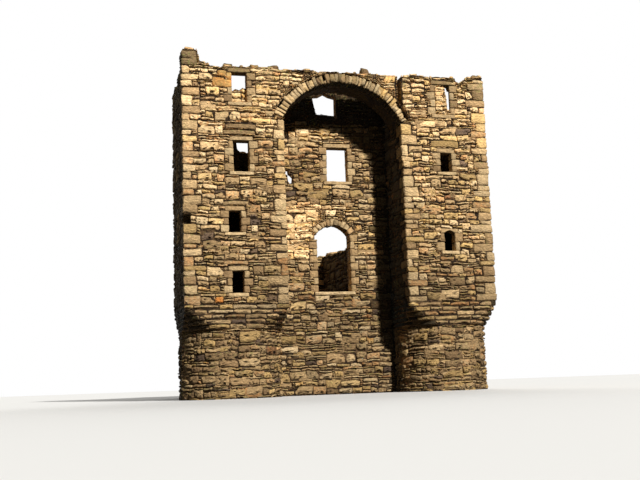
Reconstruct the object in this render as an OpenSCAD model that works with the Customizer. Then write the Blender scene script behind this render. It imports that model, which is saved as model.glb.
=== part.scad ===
// Ruined castle keep: two round towers corbelled out to square caps, a high
// arch between them, the hall gable behind the arch and the broken hall walls.
// Lengths are millimetres. +X runs along the front to the right, +Y goes away
// from the front, +Z is up, and the ground is at zero.

/* [Front] */
// Width of the left tower
left_tower_w = 3850; // [3400:50:4200]
// Clear width between the towers, under the great arch
arch_span = 4850; // [4400:50:5400]
// Width of the right tower
right_tower_w = 3600; // [3400:50:4200]
// Height of the front wall head above the ground
wall_head = 12600; // [12500:50:13200]
// Depth of the recess, from the front to the hall gable
recess_d = 2100; // [1900:50:2400]

/* [Towers] */
// Thickness of the tower walls
tower_wall_t = 800; // [600:20:1000]
// Height of the round base, where the corbelling starts
corbel_z = 2550; // [2200:50:2700]
// Number of corbel courses
corbel_courses = 5; // [3:1:7]
// Height of one corbel course
corbel_course_h = 180; // [150:10:220]
// Radius of the rounded lower edge of a corbel course
corbel_nose = 70; // [30:5:90]
// Floor of the lowest tower room, inside the corbelling
low_room_floor = 2950; // [2800:50:3200]
// Top of the second tower floor
mid_room_floor = 5250; // [5100:50:5400]
// Top of the third tower floor
high_room_floor = 7600; // [7450:50:7750]
// Thickness of a stone floor
floor_t = 180; // [120:10:260]
// Depth of the floor's seat in the tower walls
floor_seat = 100; // [60:10:160]

/* [Great arch] */
// Rise of the arch above its springing
arch_rise = 1550; // [1300:25:1700]
// Height of the arch stones, from soffit to back
ring_t = 390; // [300:10:450]
// Depth of the dressed arch stones from the front
ring_d = 450; // [350:10:600]
// Depth of the whole arch, which leaves a slot before the gable
arch_d = 1350; // [1150:25:1500]
// Number of arch stones
arch_stones = 33; // [25:2:41]
// Width of a joint between dressed stones
joint = 10; // [6:1:20]
// Width of the upright groove beside the arch
groove_w = 190; // [120:10:240]
// How much of that width lies in the right tower
groove_in = 80; // [0:10:100]
// Depth of the upright groove
groove_d = 420; // [150:10:440]

/* [Hall block] */
// Length of the whole keep from front to back
keep_len = 14000; // [12500:100:16000]
// Thickness of the gable behind the arch
gable_t = 1000; // [850:50:1200]
// Thickness of the hall side walls
side_wall_t = 1150; // [900:50:1300]
// Thickness of the end wall
end_wall_t = 1000; // [850:50:1200]
// Top of the hall floor
hall_floor = 3200; // [3100:50:3400]
// Height where the cellar vault springs from the side walls
vault_spring = 1500; // [1300:50:1600]
// Rise of the cellar vault
vault_rise = 1300; // [1150:50:1350]
// Height that the hall walls still stand to
ruin_head = 7000; // [6700:50:7600]

/* [Openings] */
// Sill height of the hall windows
hall_sill = 4090; // [3950:10:4250]
// Width of the arched hall window
hall_window_w = 1380; // [1100:20:1500]
// Height of that window from its sill to its springing
hall_window_h = 2360; // [2100:20:2500]
// Rise of the hall window's arch
hall_window_rise = 370; // [250:10:450]
// Height of the hall window's arch stones
hall_ring_t = 260; // [200:10:320]
// Number of the hall window's arch stones
hall_arch_stones = 11; // [7:2:15]
// Width of the cellar doorway in the end wall
door_w = 1100; // [900:20:1300]
// Height of the cellar doorway
door_h = 2050; // [1900:10:2150]

/* [Dressings] */
// Depth of the dressed stones round an opening
dress_d = 360; // [260:10:450]
// Height of a lintel
lintel_h = 170; // [130:10:220]
// Length that a lintel bears on the wall at each end
lintel_bearing = 140; // [90:10:200]
// Height of a sill stone
sill_h = 140; // [90:10:180]
// Length that a sill runs past the opening at each end
sill_lug = 160; // [90:10:220]
// How far a sill stands proud of the wall face
sill_proud = 30; // [0:5:60]
// Width of the short jamb stones
jamb_short = 190; // [140:10:240]
// Width of the long jamb stones
jamb_long = 330; // [250:10:380]
// How much a small opening widens on each side towards the room
splay = 230; // [100:10:300]
// How much its head rises towards the room
head_rise = 260; // [150:10:300]
// Depth left of the jamb stones of the right top window, which have lost their backs
worn_jamb_d = 110; // [80:10:200]
// How much that window widens on each side towards the room
worn_splay = 310; // [250:10:350]
// How much the hall window widens behind its dressed stones
rear_rebate = 150; // [100:10:200]

/* [Passages] */
// Height of the slanted passages from the hall and the room above it into the towers
passage_h = 1900; // [1800:20:1950]
// Width of a passage's mouth in the hall's side wall
passage_mouth = 800; // [700:20:900]
// Distance from the gable to that mouth
passage_jamb = 150; // [100:10:250]
// Least distance of that mouth behind the tower room's corner
passage_past = 200; // [150:10:250]
// How far a passage cuts back each side of the tower room's corner
passage_cut = 450; // [400:10:550]

/* [Hidden] */
$fn = 96;
eps = 1;

// Sides of the large circles, whose ends meet other pieces
fine = 288;

// Colours of the masonry
rubble = [0.66, 0.54, 0.38];
dressed = [0.76, 0.66, 0.48];
dark_rubble = [0.50, 0.42, 0.31];
flags = [0.55, 0.50, 0.42];

// Places along the front
front_w = left_tower_w + arch_span + right_tower_w;
x_left = -front_w / 2;
x_gap_left = x_left + left_tower_w;
x_gap_right = x_gap_left + arch_span;
x_right = front_w / 2;
x_arch = (x_gap_left + x_gap_right) / 2;

// Places from the front to the back; the sills stand proud of the front only
y_front = -(keep_len - sill_proud) / 2;
y_gable = y_front + recess_d;
y_gable_in = y_gable + gable_t;
y_end = y_front + keep_len;
y_end_in = y_end - end_wall_t;

// Heights
corbel_top = corbel_z + corbel_courses * corbel_course_h;
arch_crown = wall_head - ring_t - joint;
arch_spring = arch_crown - arch_rise;

// Circle of the great arch's soffit
arch_r = (pow(arch_span / 2, 2) + pow(arch_rise, 2)) / (2 * arch_rise);
arch_cz = arch_crown - arch_r;
arch_half_angle = asin(arch_span / 2 / arch_r);

// Circle of the hall window's soffit
hall_r = (pow(hall_window_w / 2, 2) + pow(hall_window_rise, 2)) / (2 * hall_window_rise);
hall_spring = hall_sill + hall_window_h;
hall_cz = hall_spring + hall_window_rise - hall_r;
hall_half_angle = asin(hall_window_w / 2 / hall_r);

// Small windows: place along the face, sill height, width, height
left_front_windows = [
    [x_left + 1985, 3870, 450, 830],
    [x_left + 1905, 6160, 470, 820],
    [x_left + 2200, 8500, 620, 1200],
    [x_left + 2175, 11220, 590, 1180]
];
right_front_windows = [
    [x_right - 1805, 5460, 450, 720, 110],
    [x_right - 1780, 8660, 490, 790],
    [x_right - 1790, 11040, 650, 1260]
];
right_top_window = right_front_windows[2];
left_side_windows = [
    [-(y_front + left_tower_w / 2), 6160, 470, 820],
    [-(y_front + left_tower_w / 2), 8660, 490, 790]
];
right_side_windows = [
    [y_front + right_tower_w / 2, 6160, 470, 820],
    [y_front + right_tower_w / 2, 8660, 490, 790]
];
gable_window = [x_arch + 280, 8650, 890, 1430];
north_windows = [
    [-(y_front + 6400), hall_sill, 890, 1430],
    [-(y_front + 10300), hall_sill, 890, 1430]
];
south_windows = [[y_front + 6200, hall_sill, 890, 1430]];
block_recess = 260;
block_gap = 130;
stack_w = 650;
stack_h = 680;

// Place of the corner stone that has fallen out: width, depth, foot and height
lost_stone = [270, 420, 6450, 400];

// How far the top left jamb stone of the hall window has broken back
broken_jamb = 110;

// Depth at which a ragged hole in the gable widens, where the rear stones are gone
hole_face = 350;

// Depth of the notch where facing stones have fallen beside the right corner
notch_d = 380;

// An upright slab between two corners
module slab(x0, x1, y0, y1, z0, z1) {
    translate([x0, y0, z0]) cube([x1 - x0, y1 - y0, z1 - z0]);
}

// A wall that runs along X: its outline in X and Z, from y0 to y1
module wall_along_x(outline, y0, y1) {
    translate([0, y1, 0]) rotate([90, 0, 0]) linear_extrude(y1 - y0) polygon(outline);
}

// A wall that runs along Y: its outline in Y and Z, from x0 to x1
module wall_along_y(outline, x0, x1) {
    translate([x0, 0, 0]) rotate([90, 0, 90]) linear_extrude(x1 - x0) polygon(outline);
}

// Faces that hold windows: local x runs along the face and local y into the wall
module on_front() {
    translate([0, y_front, 0]) children();
}
module on_gable() {
    translate([0, y_gable, 0]) children();
}
module on_left() {
    translate([x_left, 0, 0]) rotate([0, 0, -90]) children();
}
module on_right() {
    translate([x_right, 0, 0]) rotate([0, 0, 90]) children();
}
module on_north() {
    translate([x_gap_left - side_wall_t, 0, 0]) rotate([0, 0, -90]) children();
}
module on_south() {
    translate([x_gap_right + side_wall_t, 0, 0]) rotate([0, 0, 90]) children();
}
module on_end() {
    translate([0, y_end, 0]) rotate([0, 0, 180]) children();
}

// Dressed stones of one small window; a fifth value is the rise of a rounded head
module lintel_block(win) {
    translate([win[0] - win[2] / 2 - lintel_bearing, 0, win[1] + win[3]])
        cube([win[2] + 2 * lintel_bearing, dress_d, lintel_h]);
}
module lintel(win) {
    difference() {
        lintel_block(win);
        if (len(win) > 4) {
            radius = (pow(win[2] / 2, 2) + pow(win[4], 2)) / (2 * win[4]);
            translate([win[0], dress_d + eps, win[1] + win[3] + win[4] - radius])
                rotate([90, 0, 0]) cylinder(r = radius, h = dress_d + 2 * eps);
        }
    }
}
module sill(win) {
    translate([win[0] - win[2] / 2 - sill_lug, -sill_proud, win[1] - sill_h])
        cube([win[2] + 2 * sill_lug, dress_d + sill_proud, sill_h]);
}
module jamb_pair(win, depth = dress_d) {
    stones = max(2, round(win[3] / 300));
    stone_h = win[3] / stones;
    for (side = [-1, 1])
        translate([win[0] + side * win[2] / 2, 0, win[1]])
            mirror([side < 0 ? 1 : 0, 0, 0])
                union() {
                    for (k = [0 : stones - 1])
                        translate([0, 0, k * stone_h])
                            cube([k % 2 == (side < 0 ? 0 : 1) ? jamb_long : jamb_short,
                                  depth, stone_h]);
                }
}

// What a small window takes out of a wall of thickness t
module window_cut(win, t, jamb_d = dress_d) {
    half = win[2] / 2;
    lintel_block(win);
    sill(win);
    jamb_pair(win, jamb_d);
    translate([win[0] - half, -eps, win[1]]) cube([win[2], dress_d + 2 * eps, win[3]]);
    embrasure(win, t);
}

// The part of a small window behind its dressed stones, wider and higher towards the
// room. Behind a window close under the wall head it is open to the sky.
module embrasure(win, t) {
    half = win[2] / 2;
    head = win[1] + win[3] + (len(win) > 4 ? win[4] : 0);
    open = head + 2 * lintel_h > wall_head;
    top = open ? wall_head + stack_h : head + head_rise;
    intersection() {
        translate([win[0], 0, win[1]]) linear_extrude(top - win[1])
            polygon([[-half, dress_d], [half, dress_d],
                     [half + splay, t + eps], [-half - splay, t + eps]]);
        translate([win[0] - half - splay, 0, 0]) rotate([90, 0, 90])
            linear_extrude(win[2] + 2 * splay)
                polygon([
                    [dress_d, win[1]], [t + eps, win[1]], [t + eps, top],
                    [open ? dress_d + 60 : t, top], [dress_d, head]
                ]);
    }
}

// Reveals under a lintel that splay from close behind the face
module worn_reveals(win, t) {
    half = win[2] / 2;
    translate([win[0], 0, win[1]]) linear_extrude(win[3])
        polygon([[-half, worn_jamb_d], [half, worn_jamb_d],
                 [half + worn_splay, t + eps], [-half - worn_splay, t + eps]]);
}

// One arch stone: angle from the crown, soffit radius, height, depth
module arch_stone(angle, pitch, radius, height, depth) {
    half = pitch / 2;
    inner = joint / 2 / radius * 180 / PI;
    outer = joint / 2 / (radius + height) * 180 / PI;
    translate([0, depth, 0]) rotate([90, 0, 0]) linear_extrude(depth)
        polygon([
            [radius * sin(angle - half + inner), radius * cos(angle - half + inner)],
            [radius * sin(angle + half - inner), radius * cos(angle + half - inner)],
            [(radius + height) * sin(angle + half - outer),
             (radius + height) * cos(angle + half - outer)],
            [(radius + height) * sin(angle - half + outer),
             (radius + height) * cos(angle - half + outer)]
        ]);
}

// A whole ring of arch stones round the origin
module arch_ring(count, half_angle, radius, height, depth) {
    pitch = 2 * half_angle / count;
    for (k = [0 : count - 1])
        arch_stone(-half_angle + (k + 0.5) * pitch, pitch, radius, height, depth);
}

// The slice of a disc between two radial joints, extruded from y0 to y1
module arch_sector(half_angle, radius, y0, y1) {
    reach = 2 * radius;
    intersection() {
        translate([0, y1, 0]) rotate([90, 0, 0])
            cylinder(r = radius, h = y1 - y0, $fn = fine);
        translate([0, y1 + eps, 0]) rotate([90, 0, 0]) linear_extrude(y1 - y0 + 2 * eps)
            polygon([[0, 0], [-reach * sin(half_angle), reach * cos(half_angle)],
                     [-reach, reach], [reach, reach],
                     [reach * sin(half_angle), reach * cos(half_angle)]]);
    }
}

// The room that the great arch takes, also in the tower walls it springs from
module great_arch_seat() {
    translate([x_arch, y_front, arch_cz])
        arch_sector(arch_half_angle, arch_r + ring_t, -eps, arch_d);
}

// Radius of a corbel course: the last one reaches the corner of the square cap
function course_r(w, k) = w / 2 * (1 + (sqrt(2) - 1) * (k + 1) / corbel_courses);

// The square that a tower's cap covers, from its left edge x0
module cap_block(x0, w, z0, z1) {
    slab(x0, x0 + w, y_front, y_front + w, z0, z1);
}

// The round base of a tower
module drum(x0, w) {
    translate([x0 + w / 2, y_front + w / 2, 0]) cylinder(d = w, h = corbel_z, $fn = fine);
}

// One corbel course: a disc with a rounded lower edge
module corbel_disc(r) {
    rotate_extrude() union() {
        square([r - corbel_nose, corbel_course_h]);
        translate([0, corbel_nose]) square([r, corbel_course_h - corbel_nose]);
        translate([r - corbel_nose, corbel_nose]) circle(corbel_nose);
    }
}

// The corbelling that turns the round base into the square cap
module corbelling(x0, w) {
    difference() {
        intersection() {
            cap_block(x0, w, corbel_z, corbel_top);
            translate([x0 + w / 2, y_front + w / 2, 0]) union() {
                for (k = [0 : corbel_courses - 1])
                    translate([0, 0, corbel_z + k * corbel_course_h])
                        corbel_disc(course_r(w, k));
            }
        }
        slab(x0 + tower_wall_t, x0 + w - tower_wall_t, y_front + tower_wall_t,
             y_front + w - tower_wall_t, low_room_floor, corbel_top + eps);
    }
}

// What a tower takes out of the hall walls that meet it
module tower_void(x0, w) {
    translate([0, 0, -eps]) drum(x0, w);
    drum(x0, w);
    intersection() {
        cap_block(x0, w, corbel_z, corbel_top);
        translate([x0 + w / 2, y_front + w / 2, 0]) union() {
            for (k = [0 : corbel_courses - 1])
                translate([0, 0, corbel_z + k * corbel_course_h])
                    cylinder(r = course_r(w, k), h = corbel_course_h, $fn = fine);
        }
    }
    cap_block(x0, w, corbel_top, wall_head + stack_h);
}

// Seats for the two stone floors inside a tower
module floor_slabs(x0, w) {
    inset = tower_wall_t - floor_seat;
    for (top = [mid_room_floor, high_room_floor])
        slab(x0 + inset, x0 + w - inset, y_front + inset, y_front + w - inset,
             top - floor_t, top);
}

// The slanted passages from the hall's corner into a tower's room corner.
// side is -1 for the left tower and 1 for the right one.
module passages(x_gap, w, side) {
    x_room = x_gap + side * tower_wall_t;
    y_room = y_front + w - tower_wall_t;
    y_mouth = max(y_gable_in + passage_jamb, y_room + passage_past);
    for (foot = [hall_floor, high_room_floor])
        translate([0, 0, foot]) linear_extrude(passage_h)
            polygon([
                [x_room, y_room - passage_cut], [x_gap - side * eps, y_mouth],
                [x_gap - side * eps, y_mouth + passage_mouth], [x_room + side * passage_cut, y_room]
            ]);
}

module left_drum() { color(rubble) drum(x_left, left_tower_w); }
module right_drum() { color(rubble) drum(x_gap_right, right_tower_w); }
module left_corbels() {
    color(dressed) difference() {
        corbelling(x_left, left_tower_w);
        passages(x_gap_left, left_tower_w, -1);
    }
}
module right_corbels() {
    color(dressed) difference() {
        corbelling(x_gap_right, right_tower_w);
        passages(x_gap_right, right_tower_w, 1);
    }
}

module left_front_wall() {
    color(rubble) difference() {
        wall_along_x([
            [x_left, corbel_top], [x_gap_left, corbel_top],
            [x_gap_left, wall_head], [x_gap_left - 420, wall_head + 35],
            [x_gap_left - 760, wall_head - 20], [x_left + 2750, wall_head + 45],
            [x_left + 1560, wall_head + 45], [x_left + 1480, wall_head - 40],
            [x_left + 1100, wall_head + 10], [x_left + 960, wall_head + 120],
            [x_left + stack_w, wall_head + 180], [x_left + stack_w, wall_head],
            [x_left, wall_head]
        ], y_front, y_front + tower_wall_t);
        on_front() for (win = left_front_windows) window_cut(win, tower_wall_t);
        great_arch_seat();
        floor_slabs(x_left, left_tower_w);
        translate([x_left - eps, y_front - eps, lost_stone[2]])
            cube([lost_stone[0] + eps, lost_stone[1] + eps, lost_stone[3]]);
    }
}

module left_outer_wall() {
    y0 = y_front + tower_wall_t;
    y1 = y_front + left_tower_w - tower_wall_t;
    color(rubble) difference() {
        wall_along_y([
            [y0, corbel_top], [y1, corbel_top], [y1, wall_head - 60],
            [y1 - 500, wall_head - 20], [y1 - 620, wall_head - 150],
            [y1 - 1150, wall_head - 130], [y1 - 1260, wall_head + 20],
            [y0, wall_head]
        ], x_left, x_left + tower_wall_t);
        on_left() for (win = left_side_windows) window_cut(win, tower_wall_t);
        floor_slabs(x_left, left_tower_w);
    }
}

module left_inner_wall() {
    y0 = y_front + tower_wall_t;
    y1 = y_front + left_tower_w - tower_wall_t;
    color(rubble) difference() {
        wall_along_y([
            [y0, corbel_top], [y1, corbel_top], [y1, wall_head - 1750],
            [y1 - 340, wall_head - 1600], [y1 - 420, wall_head - 1050],
            [y1 - 800, wall_head - 900], [y1 - 880, wall_head - 380],
            [y0 + arch_d - tower_wall_t + 300, wall_head - 300],
            [y0 + arch_d - tower_wall_t + 220, wall_head], [y0, wall_head]
        ], x_gap_left - tower_wall_t, x_gap_left);
        great_arch_seat();
        passages(x_gap_left, left_tower_w, -1);
        floor_slabs(x_left, left_tower_w);
    }
}

module left_back_wall() {
    y0 = y_front + left_tower_w - tower_wall_t;
    y1 = y_front + left_tower_w;
    color(rubble) difference() {
        wall_along_x([
            [x_left, corbel_top], [x_gap_left, corbel_top],
            [x_gap_left, wall_head - 2850], [x_gap_left - 420, wall_head - 2700],
            [x_gap_left - 500, wall_head - 2560], [x_gap_left - 1180, wall_head - 2600],
            [x_gap_left - 1300, wall_head - 2420], [x_gap_left - 1390, wall_head - 1700],
            [x_gap_left - 1720, wall_head - 1620], [x_gap_left - 1820, wall_head - 1150],
            [x_gap_left - 2280, wall_head - 1060], [x_gap_left - 2390, wall_head - 420],
            [x_left + tower_wall_t, wall_head - 330], [x_left + tower_wall_t - 120, wall_head - 60],
            [x_left, wall_head - 80]
        ], y0, y1);
        passages(x_gap_left, left_tower_w, -1);
        floor_slabs(x_left, left_tower_w);
    }
}

module left_floors() { color(flags) floor_slabs(x_left, left_tower_w); }

module left_lintels() {
    color(dressed) {
        on_front() for (win = left_front_windows) lintel(win);
        on_left() for (win = left_side_windows) lintel(win);
    }
}

module left_jambs() {
    color(dressed) {
        on_front() for (win = left_front_windows) jamb_pair(win);
        on_left() for (win = left_side_windows) jamb_pair(win);
    }
}

module left_sills() {
    color(dressed) {
        on_front() for (win = left_front_windows) sill(win);
        on_left() for (win = left_side_windows) sill(win);
    }
}

// Loose rubble that fills the lower part of the top window
module left_blocking() {
    win = left_front_windows[3];
    x0 = win[0] - win[2] / 2;
    x1 = win[0] + win[2] / 2;
    color(rubble) wall_along_x([
        [x0, win[1]], [x1, win[1]], [x1, win[1] + 620], [x1 - 150, win[1] + 660],
        [x1 - 240, win[1] + 560], [x1 - 430, win[1] + 600], [x0 + 60, win[1] + 520],
        [x0, win[1] + 540]
    ], y_front + block_recess, y_front + dress_d);
}

// Stones of the parapet left standing on the left corner
module left_corner_stack() {
    color(rubble) wall_along_x([
        [x_left, wall_head], [x_left + stack_w, wall_head],
        [x_left + stack_w, wall_head + 380], [x_left + stack_w - 60, wall_head + 400],
        [x_left + stack_w - 70, wall_head + stack_h - 60],
        [x_left + 90, wall_head + stack_h], [x_left + 70, wall_head + stack_h - 60],
        [x_left, wall_head + stack_h - 80]
    ], y_front, y_front + tower_wall_t);
}

module right_front_wall() {
    color(rubble) difference() {
        wall_along_x([
            [x_gap_right, corbel_top], [x_right, corbel_top],
            [x_right, wall_head], [x_right - stack_w, wall_head],
            [x_right - stack_w - 230, wall_head - 60], [x_right - stack_w - 400, wall_head - 20],
            [x_right - 1300, wall_head + 30],
            [x_right - 2150, wall_head + 30], [x_right - 2240, wall_head - 50],
            [x_right - 2700, wall_head + 60], [x_gap_right + 480, wall_head + 70],
            [x_gap_right + 400, wall_head - 40], [x_gap_right, wall_head - 20]
        ], y_front, y_front + tower_wall_t);
        on_front() {
            for (k = [0 : 1]) window_cut(right_front_windows[k], tower_wall_t);
            window_cut(right_top_window, tower_wall_t, worn_jamb_d);
            worn_reveals(right_top_window, tower_wall_t);
        }
        wall_along_x([
            [x_right - stack_w - 110, wall_head + stack_h],
            [x_right - stack_w - 110, wall_head - 70], [x_right - stack_w - 290, wall_head - 430],
            [x_right - stack_w - 370, wall_head - 440], [x_right - stack_w - 450, wall_head - 160],
            [x_right - stack_w - 530, wall_head - 70], [x_right - stack_w - 530, wall_head + stack_h]
        ], y_front - eps, y_front + notch_d);
        great_arch_seat();
        groove();
        floor_slabs(x_gap_right, right_tower_w);
    }
}

module right_outer_wall() {
    y0 = y_front + tower_wall_t;
    y1 = y_front + right_tower_w - tower_wall_t;
    color(rubble) difference() {
        wall_along_y([
            [y0, corbel_top], [y1, corbel_top], [y1, wall_head - 560],
            [y1 - 300, wall_head - 590], [y1 - 400, wall_head - 830],
            [y1 - 1100, wall_head - 960], [y0 + 330, wall_head - 900],
            [y0 + 270, wall_head - 560], [y0 + 110, wall_head - 500],
            [y0 + 60, wall_head - 130], [y0, wall_head - 100]
        ], x_right - tower_wall_t, x_right);
        on_right() for (win = right_side_windows) window_cut(win, tower_wall_t);
        floor_slabs(x_gap_right, right_tower_w);
    }
}

module right_inner_wall() {
    y0 = y_front + tower_wall_t;
    y1 = y_front + right_tower_w - tower_wall_t;
    color(rubble) difference() {
        wall_along_y([
            [y0, corbel_top], [y1, corbel_top], [y1, wall_head - 950],
            [y1 - 300, wall_head - 900], [y1 - 380, wall_head - 520],
            [y0 + arch_d - tower_wall_t + 350, wall_head - 460],
            [y0 + arch_d - tower_wall_t + 250, wall_head], [y0, wall_head]
        ], x_gap_right, x_gap_right + tower_wall_t);
        great_arch_seat();
        passages(x_gap_right, right_tower_w, 1);
        floor_slabs(x_gap_right, right_tower_w);
    }
}

module right_back_wall() {
    y0 = y_front + right_tower_w - tower_wall_t;
    y1 = y_front + right_tower_w;
    color(rubble) difference() {
        wall_along_x([
            [x_gap_right, corbel_top], [x_right, corbel_top],
            [x_right, wall_head - 560], [x_right - 700, wall_head - 600],
            [x_right - 800, wall_head - 900], [x_right - 1500, wall_head - 880],
            [x_right - 1600, wall_head - 1240], [x_gap_right + 1400, wall_head - 1300],
            [x_gap_right + 800, wall_head - 1660], [x_gap_right + 300, wall_head - 1600],
            [x_gap_right, wall_head - 1450]
        ], y0, y1);
        passages(x_gap_right, right_tower_w, 1);
        floor_slabs(x_gap_right, right_tower_w);
    }
}

module right_floors() { color(flags) floor_slabs(x_gap_right, right_tower_w); }

module right_lintels() {
    color(dressed) {
        on_front() for (win = right_front_windows) lintel(win);
        on_right() for (win = right_side_windows) lintel(win);
    }
}

module right_jambs() {
    color(dressed) {
        on_front() {
            for (k = [0 : 1]) jamb_pair(right_front_windows[k]);
            jamb_pair(right_top_window, worn_jamb_d);
        }
        on_right() for (win = right_side_windows) jamb_pair(win);
    }
}

module right_sills() {
    color(dressed) {
        on_front() for (win = right_front_windows) sill(win);
        on_right() for (win = right_side_windows) sill(win);
    }
}

module right_blocking() {
    win = right_top_window;
    x0 = win[0] - win[2] / 2;
    x1 = win[0] + win[2] / 2;
    head = win[1] + win[3];
    color(rubble) wall_along_x([
        [x0, win[1]], [x1, win[1]], [x1, win[1] + 130], [x1 - block_gap, win[1] + 190],
        [x1 - block_gap - 10, win[1] + 520], [x1 - block_gap - 50, win[1] + 900],
        [x1 - block_gap - 70, head - 110], [x1 - block_gap - 190, head - 70],
        [x0 + 90, head - 40], [x0, head - 60]
    ], y_front, y_front + dress_d);
}

module right_corner_stack() {
    color(rubble) wall_along_x([
        [x_right - stack_w, wall_head], [x_right, wall_head],
        [x_right, wall_head + 150], [x_right - 420, wall_head + 170],
        [x_right - 460, wall_head + 60], [x_right - stack_w, wall_head + 70]
    ], y_front, y_front + tower_wall_t);
}

module great_arch() {
    color(dressed) translate([x_arch, y_front, arch_cz])
        arch_ring(arch_stones, arch_half_angle, arch_r, ring_t, ring_d);
}

// Rubble part of the arch behind the dressed stones
module arch_barrel() {
    color(dark_rubble) translate([x_arch, y_front, arch_cz]) difference() {
        arch_sector(arch_half_angle, arch_r + ring_t, ring_d, arch_d);
        translate([0, arch_d + eps, 0]) rotate([90, 0, 0])
            cylinder(r = arch_r, h = arch_d, $fn = fine);
    }
}

// Upright groove between the arch and the right tower
module groove() {
    slab(x_gap_right + groove_in - groove_w, x_gap_right + groove_in,
         y_front - eps, y_front + groove_d, arch_spring, wall_head + stack_h);
}

module left_spandrel() {
    color(rubble) difference() {
        wall_along_x([
            [x_gap_left, arch_spring], [x_arch, arch_spring],
            [x_arch, wall_head - 5], [x_arch - 560, wall_head + 20],
            [x_arch - 900, wall_head - 30], [x_arch - 1250, wall_head + 60],
            [x_arch - 1900, wall_head + 30], [x_gap_left, wall_head + 10]
        ], y_front, y_front + arch_d);
        great_arch_seat();
    }
}

module right_spandrel() {
    color(rubble) difference() {
        wall_along_x([
            [x_gap_right, arch_spring], [x_gap_right, wall_head - 30],
            [x_arch + 1750, wall_head - 60], [x_arch + 1300, wall_head + 30],
            [x_arch + 850, wall_head - 40], [x_arch + 500, wall_head + 30],
            [x_arch, wall_head - 5], [x_arch, arch_spring]
        ], y_front, y_front + arch_d);
        great_arch_seat();
        groove();
    }
}

// Foot of the gable, which also stands behind the towers' round bases
module gable_base() {
    color(rubble) difference() {
        slab(x_gap_left - side_wall_t, x_gap_right + side_wall_t, y_gable, y_gable_in,
             0, corbel_top);
        tower_void(x_left, left_tower_w);
        tower_void(x_gap_right, right_tower_w);
    }
}

module hall_window_void(y0, y1) {
    slab(x_arch - hall_window_w / 2, x_arch + hall_window_w / 2, y0, y1,
         hall_sill, hall_spring);
    translate([x_arch, 0, hall_cz])
        arch_sector(hall_half_angle, hall_r, y0, y1);
}

// The wider part of the hall window behind its dressed stones
module hall_window_rear() {
    half = hall_window_w / 2 + rear_rebate;
    slab(x_arch - half, x_arch + half, y_gable + dress_d, y_gable_in + eps,
         hall_sill, hall_spring);
    intersection() {
        slab(x_arch - half, x_arch + half, y_gable + dress_d, y_gable_in + eps,
             hall_spring - eps, high_room_floor);
        translate([x_arch, y_gable_in + eps, hall_cz]) rotate([90, 0, 0])
            cylinder(r = hall_r + rear_rebate, h = gable_t - dress_d + eps);
    }
}

module gable_hall_stage() {
    color(rubble) difference() {
        slab(x_gap_left, x_gap_right, y_gable, y_gable_in, corbel_top, high_room_floor);
        hall_window_void(y_gable - eps, y_gable_in + eps);
        hall_window_rear();
        translate([x_arch, 0, hall_cz])
            arch_sector(hall_half_angle, hall_r + hall_ring_t, y_gable - eps, y_gable + dress_d);
        on_gable() {
            jamb_pair([x_arch, hall_sill, hall_window_w, hall_window_h]);
            sill([x_arch, hall_sill, hall_window_w, hall_window_h]);
        }
    }
}

module gable_upper_stage() {
    color(rubble) difference() {
        wall_along_x([
            [x_gap_left, high_room_floor], [x_gap_right, high_room_floor],
            [x_gap_right, wall_head - 180], [x_arch + 1900, wall_head - 60],
            [x_arch + 1200, wall_head - 120], [x_arch + 1100, wall_head + 20],
            [x_arch + 480, wall_head + 40], [x_arch + 300, wall_head + 110],
            [x_arch - 700, wall_head + 90], [x_arch - 820, wall_head - 90],
            [x_arch - 1600, wall_head - 60], [x_arch - 1700, wall_head + 30],
            [x_gap_left, wall_head - 20]
        ], y_gable, y_gable_in);
        on_gable() window_cut(gable_window, gable_t);
        wall_along_x([
            [x_arch - 545, wall_head - 1100], [x_arch + 230, wall_head - 1140],
            [x_arch + 250, wall_head - 1250], [x_arch + 370, wall_head - 1240],
            [x_arch + 310, wall_head - 1040], [x_arch + 320, wall_head - 330],
            [x_arch + 60, wall_head - 270], [x_arch - 150, wall_head - 160],
            [x_arch - 380, wall_head - 290], [x_arch - 695, wall_head - 320],
            [x_arch - 650, wall_head - 620]
        ], y_gable - eps, y_gable + hole_face);
        wall_along_x([
            [x_arch - 700, wall_head - 1060], [x_arch - 420, wall_head - 1180],
            [x_arch + 660, wall_head - 1230], [x_arch + 680, wall_head - 700],
            [x_arch + 610, wall_head - 340], [x_arch + 630, wall_head + 200],
            [x_arch - 610, wall_head + 200], [x_arch - 740, wall_head - 280]
        ], y_gable + hole_face - eps, y_gable_in + eps);
        wall_along_x([
            [x_arch - 1820, wall_head - 3960], [x_arch - 1760, wall_head - 4060],
            [x_arch - 1640, wall_head - 4030], [x_arch - 1610, wall_head - 3800],
            [x_arch - 1690, wall_head - 3710], [x_arch - 1780, wall_head - 3650],
            [x_arch - 1800, wall_head - 3500], [x_arch - 1960, wall_head - 3490],
            [x_arch - 1990, wall_head - 3640], [x_arch - 1840, wall_head - 3720]
        ], y_gable - eps, y_gable + hole_face);
        wall_along_x([
            [x_arch - 1900, wall_head - 4070], [x_arch - 1420, wall_head - 4090],
            [x_arch - 1330, wall_head - 3720], [x_arch - 1400, wall_head - 3230],
            [x_arch - 1880, wall_head - 3160], [x_arch - 2060, wall_head - 3520]
        ], y_gable + hole_face - 100, y_gable_in + eps);
    }
}

module hall_window_arch() {
    color(dressed) translate([x_arch, y_gable, hall_cz])
        arch_ring(hall_arch_stones, hall_half_angle, hall_r, hall_ring_t, dress_d);
}

module gable_lintels() { color(dressed) on_gable() lintel(gable_window); }

module gable_jambs() {
    color(dressed) on_gable() {
        jamb_pair(gable_window);
        difference() {
            jamb_pair([x_arch, hall_sill, hall_window_w, hall_window_h]);
            translate([x_arch - hall_window_w / 2 - broken_jamb, -eps, hall_spring - 210])
                cube([broken_jamb + eps, dress_d + 2 * eps, 210 + eps]);
        }
    }
}

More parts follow.
